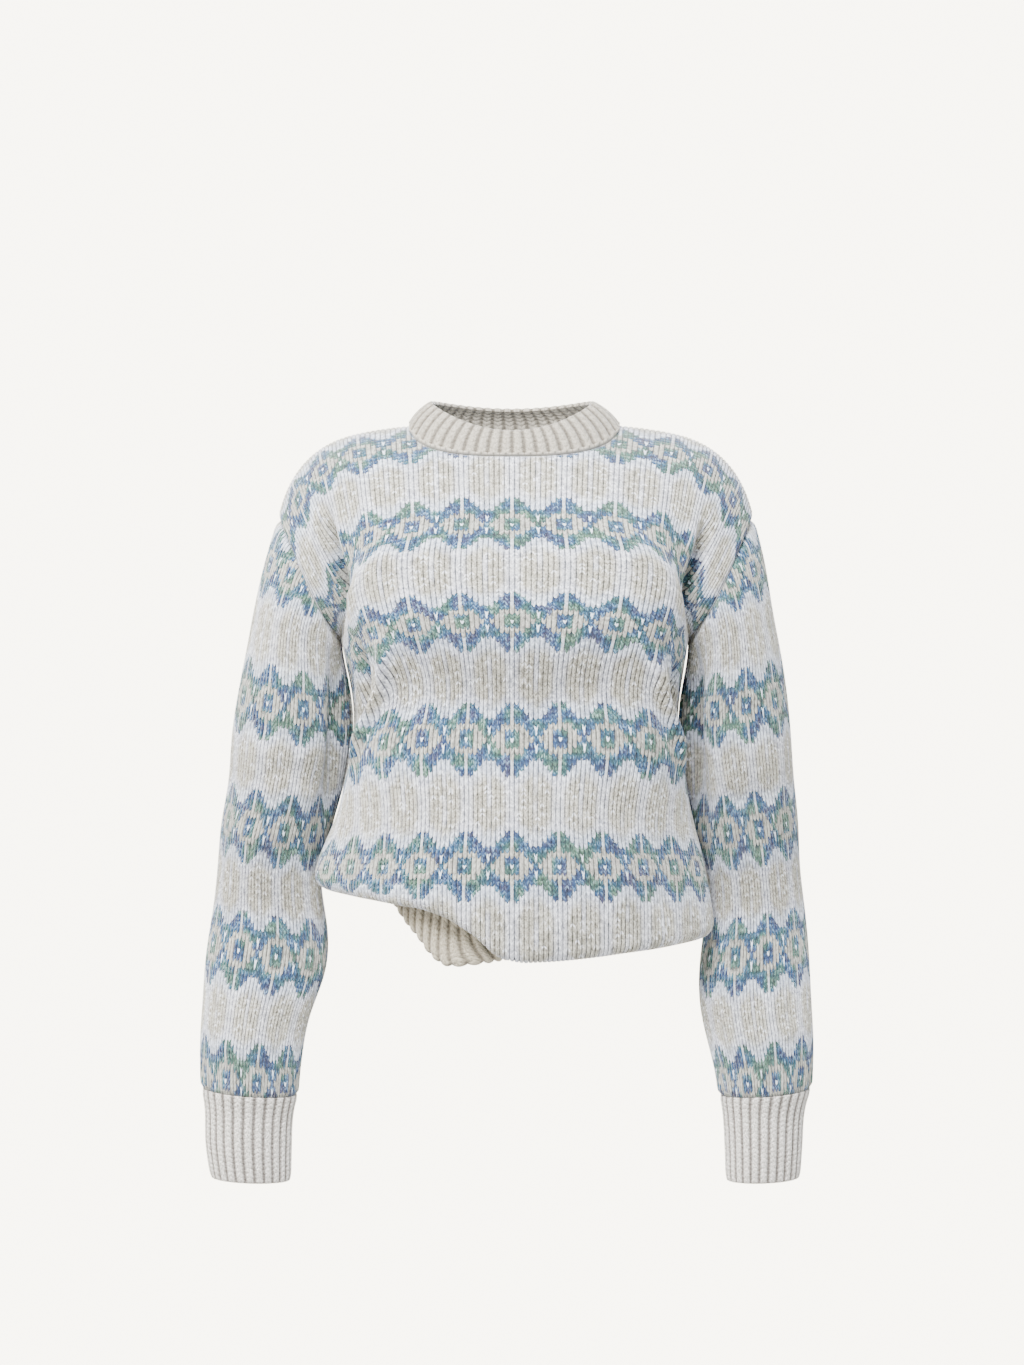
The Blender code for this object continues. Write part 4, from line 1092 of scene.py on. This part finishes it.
def knit_pattern():
    """Colour and relief of stocking stitch with the charted bands, from stitch and row."""
    g = Group("fair_isle_stitches")
    u, v, _ = g.split(g.takes("Stitches", "NodeSocketVector"))

    # The yarn's fuzz blurs the edge of every stitch, and loose fibres carry its colour further
    ragged = g.noise(g.vector(g.times(u, 3.1), g.times(v, 2.3)), 1.0, 2.0, 0.6)
    ragged = g.split(ragged[1])

    def charted(reach_x, reach_y):
        x = g.plus(u, g.times(g.plus(ragged[0], -0.5), reach_x))
        y = g.plus(v, g.times(g.plus(ragged[1], -0.5), reach_y))
        wale = g.math("FLOOR", g.plus(x, 0.5))
        across = g.minus(x, wale)
        off = g.math("ABSOLUTE", across)
        slanted = g.plus(g.minus(y, g.times(off, 1.15)), 0.28)
        course = g.math("FLOOR", g.plus(slanted, 0.5))

        # Chart row and column
        row = g.math("FLOORED_MODULO", g.plus(course, CHART_REPEAT * 4 + 12.0 - CHART_ROW), CHART_REPEAT)
        row = g.math("ABSOLUTE", g.plus(row, -12.0))
        column = g.math("ABSOLUTE", g.plus(g.math("FLOORED_MODULO", g.plus(wale, 5.0), CHART_WIDTH), -5.0))
        at = g.math("MINIMUM", g.times(g.plus(row, 0.5), 1 / 8), 0.99)
        codes = list(zip(*[chart_codes(letter) for letter in "BWc"]))
        stops = [(i / 8, (*[code / 64 for code in codes[i]], 1.0)) for i in range(7)] + [(7 / 8, (0, 0, 0, 1))]
        power = g.math("POWER", 2.0, column)
        shown = g.math("GREATER_THAN", v, 4.0)
        masks = []
        for channel in g.split(g.ramp(at, stops, "CONSTANT")):
            bits = g.math("FLOOR", g.plus(g.math("DIVIDE", g.times(channel, 64.0), power), 0.002))
            masks.append(g.times(g.math("FLOORED_MODULO", bits, 2.0), shown))
        return masks, (wale, across, off, slanted, course, row, column)

    masks, (wale, across, off, slanted, course, row, column) = charted(0.42, 0.9)
    blue, white, cream = masks
    strayed = charted(1.5, 2.2)[0][0]
    leg = g.math("SIGN", across)
    up = g.minus(slanted, course)

    # A white mark is one stitch that narrows to its foot, the axis above a peak is one thin wale,
    # and the middle of a rosette is a round dot. What they leave is blue.
    dot = g.math("SQRT", g.plus(g.times(across, across), g.times(g.times(up, up), 1.2)))
    at_axis = g.math("LESS_THAN", column, 0.5)
    in_middle = g.math("LESS_THAN", row, 0.5)
    above = g.plus(g.math("FLOORED_MODULO", g.plus(slanted, CHART_REPEAT * 4 - CHART_ROW + 12.5), CHART_REPEAT), -12.5)
    foot = g.plus(g.math("ABSOLUTE", above), -1.5)
    slim = g.math("GREATER_THAN", off, g.plus(0.24, g.times(g.times(foot, g.math("SIGN", above)), 0.30)))
    slim = g.math("MAXIMUM", slim, g.math("GREATER_THAN", g.math("ABSOLUTE", foot), 0.62))
    wide_mark = g.times(g.math("GREATER_THAN", column, 4.5), slim)
    wide_axis = g.times(g.times(at_axis, g.minus(1.0, in_middle)), g.math("GREATER_THAN", off, 0.30))
    wide_dot = g.times(g.times(at_axis, in_middle), g.math("GREATER_THAN", dot, 0.35))
    trimmed = g.math("MAXIMUM", wide_dot, g.math("MAXIMUM", wide_mark, wide_axis))
    trimmed = g.times(trimmed, white)
    blue = g.math("MAXIMUM", blue, trimmed)

    # Blue yarns: a hue in patches a few stitches wide, spun of dark and light strands, with a painted highlight along
    # the middle of each loop and painted shade at its edges
    stitch = g.random(g.vector(wale, course, 1.0))
    strand = g.random(g.vector(g.plus(g.times(wale, 2.0), leg), g.math("FLOOR", g.times(slanted, 2.0)), 2.0))
    patch = g.noise(g.vector(u, g.times(v, 1.1)), 0.21, 1.0, 0.4)[0]
    hue = g.plus(g.times(g.between(patch, 0.34, 0.66), 0.86), g.times(stitch[0], 0.14))
    blues = g.ramp(hue, [
        (0.0, yarn("violet")),
        (0.14, yarn("deep")),
        (0.30, yarn("steel")),
        (0.52, yarn("teal")),
        (0.78, yarn("green")),
        (1.0, yarn("moss")),
    ])
    lean = g.plus(g.times(across, 3.2), g.times(slanted, 1.0))
    twist = g.noise(g.vector(lean, g.times(wale, 2.7), g.times(course, 0.35)), 1.8, 2.0, 0.6)[0]
    # Painted highlight: the tone rises along the middle of each loop, towards sky or mint, and falls towards navy at
    # the loop's edges as painted shade
    crown_highlight = g.between(g.math("ABSOLUTE", g.plus(up, g.times(g.plus(strand[0], -0.5), -0.6))), 0.36, 0.02)
    tone = g.plus(g.times(strand[0], 0.24), g.plus(g.times(g.between(twist, 0.36, 0.64), 0.48), g.times(crown_highlight, 0.28)))
    blues = g.blend(g.times(g.between(tone, 0.46, 0.16), 0.85), blues, yarn("navy"))
    blues = g.blend(g.times(g.between(tone, 0.56, 0.94), 0.85), blues, g.blend(g.between(hue, 0.5, 0.8), yarn("sky"), yarn("mint")))

    # Plain ground: cool white around the bands and axes, warm heather between
    middle = g.plus(g.math("FLOORED_MODULO", g.plus(v, CHART_REPEAT * 4 - CHART_ROW + 12.5), CHART_REPEAT), -12.5)
    middle = g.math("ABSOLUTE", middle)
    beside = g.math("ABSOLUTE", g.plus(g.math("FLOORED_MODULO", g.plus(u, 5.0), CHART_WIDTH), -5.0))
    outline = g.minus(6.6, g.times(g.math("MAXIMUM", g.plus(beside, -1.0), 0.0), 0.8))
    mottle = g.noise(g.vector(g.times(u, 0.8), g.times(v, 0.55)), 0.8, 3.0, 0.6)[0]
    beyond_band = g.plus(g.minus(middle, outline), g.times(g.plus(mottle, -0.5), 3.6))
    warm = g.times(g.between(beyond_band, 0.4, 3.6), g.plus(0.26, g.times(g.between(beside, 0.5, 2.3), 0.74)))
    streak = g.noise(g.vector(g.times(wale, 1.3), g.times(v, 0.22)), 1.0, 1.0)[0]
    heart = g.times(g.between(beside, 4.2, 4.7), g.between(streak, 0.30, 0.60))
    warm = g.times(warm, g.minus(1.0, g.times(heart, 0.72)))
    fleck = g.noise(g.vector(g.times(u, 2.6), g.times(v, 1.5)), 1.0, 3.0, 0.8)[0]
    fibre = g.plus(g.times(strand[0], 0.45), g.times(g.between(fleck, 0.30, 0.70), 0.55))
    # Painted shade: the ground yarn is made darker around row 52, standing in for the shade at the waist under the
    # chest
    fibre = g.minus(fibre, g.times(g.between(g.math("ABSOLUTE", g.plus(v, -52.0)), 20.0, 6.0), 0.10))
    cool_yarn = g.ramp(fibre, [(0.06, yarn("cool_shade")), (0.48, yarn("cool")), (0.92, yarn("cool_light"))])
    warm_yarn = g.ramp(fibre, [(0.10, yarn("warm_shade")), (0.50, yarn("warm")), (0.95, yarn("warm_light"))])
    ground = g.blend(warm, cool_yarn, warm_yarn)
    specks = g.noise(g.vector(g.times(u, 3.2), g.times(v, 2.8), 3.0), 1.0, 2.0, 0.6)[0]
    ground = g.blend(g.times(g.between(specks, 0.55, 0.66), g.plus(0.15, g.times(warm, 0.60))), ground, yarn("heather"))
    ground = g.blend(g.times(g.between(strand[0], 0.90, 0.97), 0.7), ground, yarn("cool_light"))
    creams = g.ramp(fibre, [(0.08, yarn("cream_shade")), (0.46, yarn("cream")), (0.88, yarn("cream_light"))])
    creams = g.blend(g.times(g.between(stitch[0], 0.80, 0.9), 0.5), creams, yarn("pink"))
    colour = g.blend(cream, ground, creams)
    whites = g.blend(g.times(at_axis, g.minus(1.0, in_middle)), yarn("white"), g.blend(0.35, cool_yarn, yarn("cream")))
    colour = g.blend(white, colour, whites)
    colour = g.blend(g.between(middle, 8.0, 4.5), colour, (0.90, 0.96, 1.0, 1.0), "MULTIPLY")
    colour = g.blend(g.times(g.minus(strayed, g.times(white, strayed)), 0.62), colour, blues)
    colour = g.blend(blue, colour, blues)

    # Each stitch has two legs that lean apart, and grooves run between the wales. The colour is darkened in the grooves
    # and in the pits where the loops meet, as painted shade.
    wander = g.noise(g.vector(g.times(wale, 0.7), g.times(v, 0.45)), 1.0, 2.0, 0.7)[0]
    groove_shade = g.between(g.math("ABSOLUTE", g.minus(u, g.math("FLOOR", g.plus(u, 0.5)))), 0.30, 0.46)
    groove_shade = g.times(groove_shade, g.plus(0.50, g.times(g.between(wander, 0.32, 0.62), 0.48)))
    groove_shade = g.times(groove_shade, g.minus(1.0, g.times(blue, 0.55)))
    colour = g.blend(groove_shade, colour, (0.10, 0.105, 0.12, 1.0), "MULTIPLY")
    leg_round = g.minus(1.0, g.math("POWER", g.math("ABSOLUTE", g.times(g.plus(off, -0.23), 1 / 0.27)), 2.0))
    loop_round = g.minus(1.0, g.math("POWER", g.math("ABSOLUTE", g.times(up, 2.0)), 2.0))
    # Painted shade, bluish and deeper in the blue yarn, where the loops meet above and below
    pit_shade = g.times(g.between(loop_round, 0.5, 0.0), g.plus(0.10, g.times(blue, 0.45)))
    colour = g.blend(pit_shade, colour, (0.18, 0.19, 0.26, 1.0), "MULTIPLY")
    relief = g.plus(g.times(leg_round, 0.5), g.plus(g.times(loop_round, 0.5), g.times(twist, 0.5)))
    g.gives("Color", "NodeSocketColor", colour)
    g.gives("Height", "NodeSocketFloat", relief)
    return g.tree


def rib_pattern(name, light, shade, furrow_shade):
    """Colour and relief of the ribbing: light rounded ribs, with painted shade in their narrow furrows and between
    their loops.
    """
    g = Group(name)
    u, v, _ = g.split(g.takes("Stitches", "NodeSocketVector"))
    rib = g.math("FLOOR", u)
    across = g.plus(g.minus(u, rib), -0.5)
    off = g.math("ABSOLUTE", across)
    slanted = g.minus(v, g.times(off, 1.3))
    course = g.math("FLOOR", slanted)
    up = g.plus(g.minus(slanted, course), -0.5)
    marl = g.noise(g.vector(g.times(u, 7.0), g.times(v, 2.4)), 1.0, 3.0, 0.7)[0]
    stitch = g.random(g.vector(rib, course, g.math("SIGN", across)))
    colour = g.blend(g.between(marl, 0.34, 0.62), shade, light)
    colour = g.blend(g.times(stitch[0], 0.30), colour, shade)
    # Painted shade: the furrows between the ribs are darkened in the colour, by the given share
    groove_shade = g.between(off, 0.20, 0.45)
    colour = g.blend(g.times(groove_shade, furrow_shade), colour, (0.28, 0.265, 0.255, 1.0), "MULTIPLY")
    loop_round = g.minus(1.0, g.math("POWER", g.math("ABSOLUTE", g.times(up, 2.0)), 2.0))
    # Painted shade where the loops of the ribs meet above and below
    pit_shade = g.times(g.between(loop_round, 0.5, 0.0), 0.22)
    colour = g.blend(pit_shade, colour, (0.30, 0.28, 0.27, 1.0), "MULTIPLY")
    loops = g.between(g.math("ABSOLUTE", g.plus(g.math("FRACT", g.times(u, 2.0)), -0.5)), 0.30, 0.48)
    chain = g.blend(loops, light, shade)
    colour = g.blend(g.between(v, 0.48, 0.36), colour, chain)
    colour = g.blend(g.between(v, 0.16, 0.04), colour, (0.26, 0.245, 0.22, 1.0))
    g.gives("Color", "NodeSocketColor", colour)
    g.gives("Height", "NodeSocketFloat", loop_round)
    return g.tree


def knit_material(name, pattern, depth):
    material = bpy.data.materials.new(name)
    material.use_nodes = True
    nodes = material.node_tree.nodes
    links = material.node_tree.links
    shader = nodes["Principled BSDF"]
    stitches = nodes.new("ShaderNodeUVMap")
    stitches.uv_map = "stitches"
    knit = nodes.new("ShaderNodeGroup")
    knit.node_tree = pattern
    bump = nodes.new("ShaderNodeBump")
    bump.inputs["Strength"].default_value = 0.8
    bump.inputs["Distance"].default_value = depth * MM
    links.new(stitches.outputs["UV"], knit.inputs["Stitches"])
    links.new(knit.outputs["Height"], bump.inputs["Height"])
    links.new(knit.outputs["Color"], shader.inputs["Base Color"])
    links.new(bump.outputs["Normal"], shader.inputs["Normal"])
    shader.inputs["Roughness"].default_value = 0.92
    shader.inputs["Specular IOR Level"].default_value = 0.15
    shader.inputs["Sheen Weight"].default_value = 0.5
    shader.inputs["Sheen Roughness"].default_value = 0.45
    return material


# ---------------------------------------------------------------- the jumper

knit = knit_material("fair_isle_yarn", knit_pattern(), 0.9)
neck_rib = knit_material("neckband_yarn", rib_pattern("neck_stitches", yarn("rib"), yarn("rib_shade"), 0.82), 0.6)
hem_rib = knit_material("hem_yarn", rib_pattern("hem_stitches", yarn("hem"), yarn("hem_shade"), 0.7), 0.6)
# The cuffs' ribbing is a lightened copy of the ribbing yarn: painted light, partly a cooler tone
cuff_rib_painted_light = knit_material("cuff_yarn_painted_light", rib_pattern("cuff_stitches", yarn("cuff"), yarn("cuff_shade"), 1.0), 0.6)

front, front_shape = add_panel(False, knit)
back, back_shape = add_panel(True, knit)
sleeves = {side: add_sleeve(side, knit) for side in (-1, 1)}
cuffs = {side: add_cuff(side, cuff_rib_painted_light) for side in (-1, 1)}
neckband = add_neckband(front_shape, back_shape, neck_rib)
hem_band = add_hem_band(front_shape, back_shape, hem_rib)

PIECES = (
    (front, "front", "fair_isle_knit"),
    (back, "back", "fair_isle_knit"),
    (sleeves[-1], "sleeve_right", "fair_isle_knit"),
    (sleeves[1], "sleeve_left", "fair_isle_knit"),
    (cuffs[-1], "cuff_right", "rib_knit"),
    (cuffs[1], "cuff_left", "rib_knit"),
    (neckband, "neckband", "rib_knit"),
    (hem_band, "hem_band", "rib_knit"),
)
for piece, node, slot in PIECES:
    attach(piece, "root")
    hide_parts(node)

# ---------------------------------------------------------------- floor, light and camera

floor_mesh = bpy.data.meshes.new("floor")
floor_mesh.from_pydata([(-80, -80, -1.45), (80, -80, -1.45), (80, 80, -1.45), (-80, 80, -1.45)], [], [(0, 1, 2, 3)])
floor = bpy.data.objects.new("floor", floor_mesh)
bpy.context.scene.collection.objects.link(floor)
paint = bpy.data.materials.new("pale_floor")
paint.use_nodes = True
shader = paint.node_tree.nodes["Principled BSDF"]
shader.inputs["Base Color"].default_value = (0.52, 0.518, 0.51, 1)
shader.inputs["Roughness"].default_value = 1.0
shader.inputs["Specular IOR Level"].default_value = 0.0
seen = paint.node_tree.nodes.new("ShaderNodeLightPath")
glow = paint.node_tree.nodes.new("ShaderNodeMix")
glow.data_type = "RGBA"
glow.inputs[6].default_value = (0, 0, 0, 1)
glow.inputs[7].default_value = (1.0, 0.935, 0.76, 1)
paint.node_tree.links.new(seen.outputs["Is Camera Ray"], glow.inputs[0])
paint.node_tree.links.new(glow.outputs[2], shader.inputs["Emission Color"])
shader.inputs["Emission Strength"].default_value = 6.5
floor_mesh.materials.append(paint)

world = bpy.data.worlds.new("studio")
world.use_nodes = True
world.node_tree.nodes["Background"].inputs["Color"].default_value = (1.0, 0.995, 0.985, 1)
world.node_tree.nodes["Background"].inputs["Strength"].default_value = 0.44
bpy.context.scene.world = world

# A wide lamp close in front of the chest, and soft distant lights in front, at the sides, over the
# shoulders and behind.
SUNS = (
    ("front_light", 5.6, 26, 38, -13, (1.0, 1.0, 1.0)),
    ("left_light", 4.2, 36, 62, -82, (1.0, 0.94, 0.83)),
    ("right_light", 1.4, 40, 62, 80, (0.88, 0.94, 1.0)),
    ("top_light", 1.2, 30, -25, -30, (1.0, 1.0, 1.0)),
    ("back_light", 2.2, 40, -52, 0, (1.0, 1.0, 1.0)),
)
for name, strength, spread, tilt, turn, colour in SUNS:
    light = bpy.data.lights.new(name, "SUN")
    light.energy = strength
    light.angle = np.radians(spread)
    light.color = colour
    light_object = bpy.data.objects.new(name, light)
    light_object.rotation_euler = (np.radians(tilt), 0, np.radians(turn))
    bpy.context.scene.collection.objects.link(light_object)

lamp = bpy.data.lights.new("wide_lamp", "AREA")
lamp.shape = "DISK"
lamp.size = 0.8
lamp.energy = 37
lamp_object = bpy.data.objects.new("wide_lamp", lamp)
lamp_object.location = (-0.26, -1.0, 0.62)
lamp_object.rotation_euler = (np.radians(52), 0, np.radians(-14))
bpy.context.scene.collection.objects.link(lamp_object)

lens = bpy.data.cameras.new("camera")
camera = bpy.data.objects.new("camera", lens)
distance = 12.0
elevation = np.radians(6.5)
camera.location = (0, -distance * np.cos(elevation), -0.2269 + distance * np.sin(elevation))
camera.rotation_euler = (np.pi / 2 - elevation, 0, 0)
lens.lens = 36 * distance / 1.2285
lens.clip_start = 1.0
lens.clip_end = 200.0
bpy.context.scene.collection.objects.link(camera)
bpy.context.scene.camera = camera
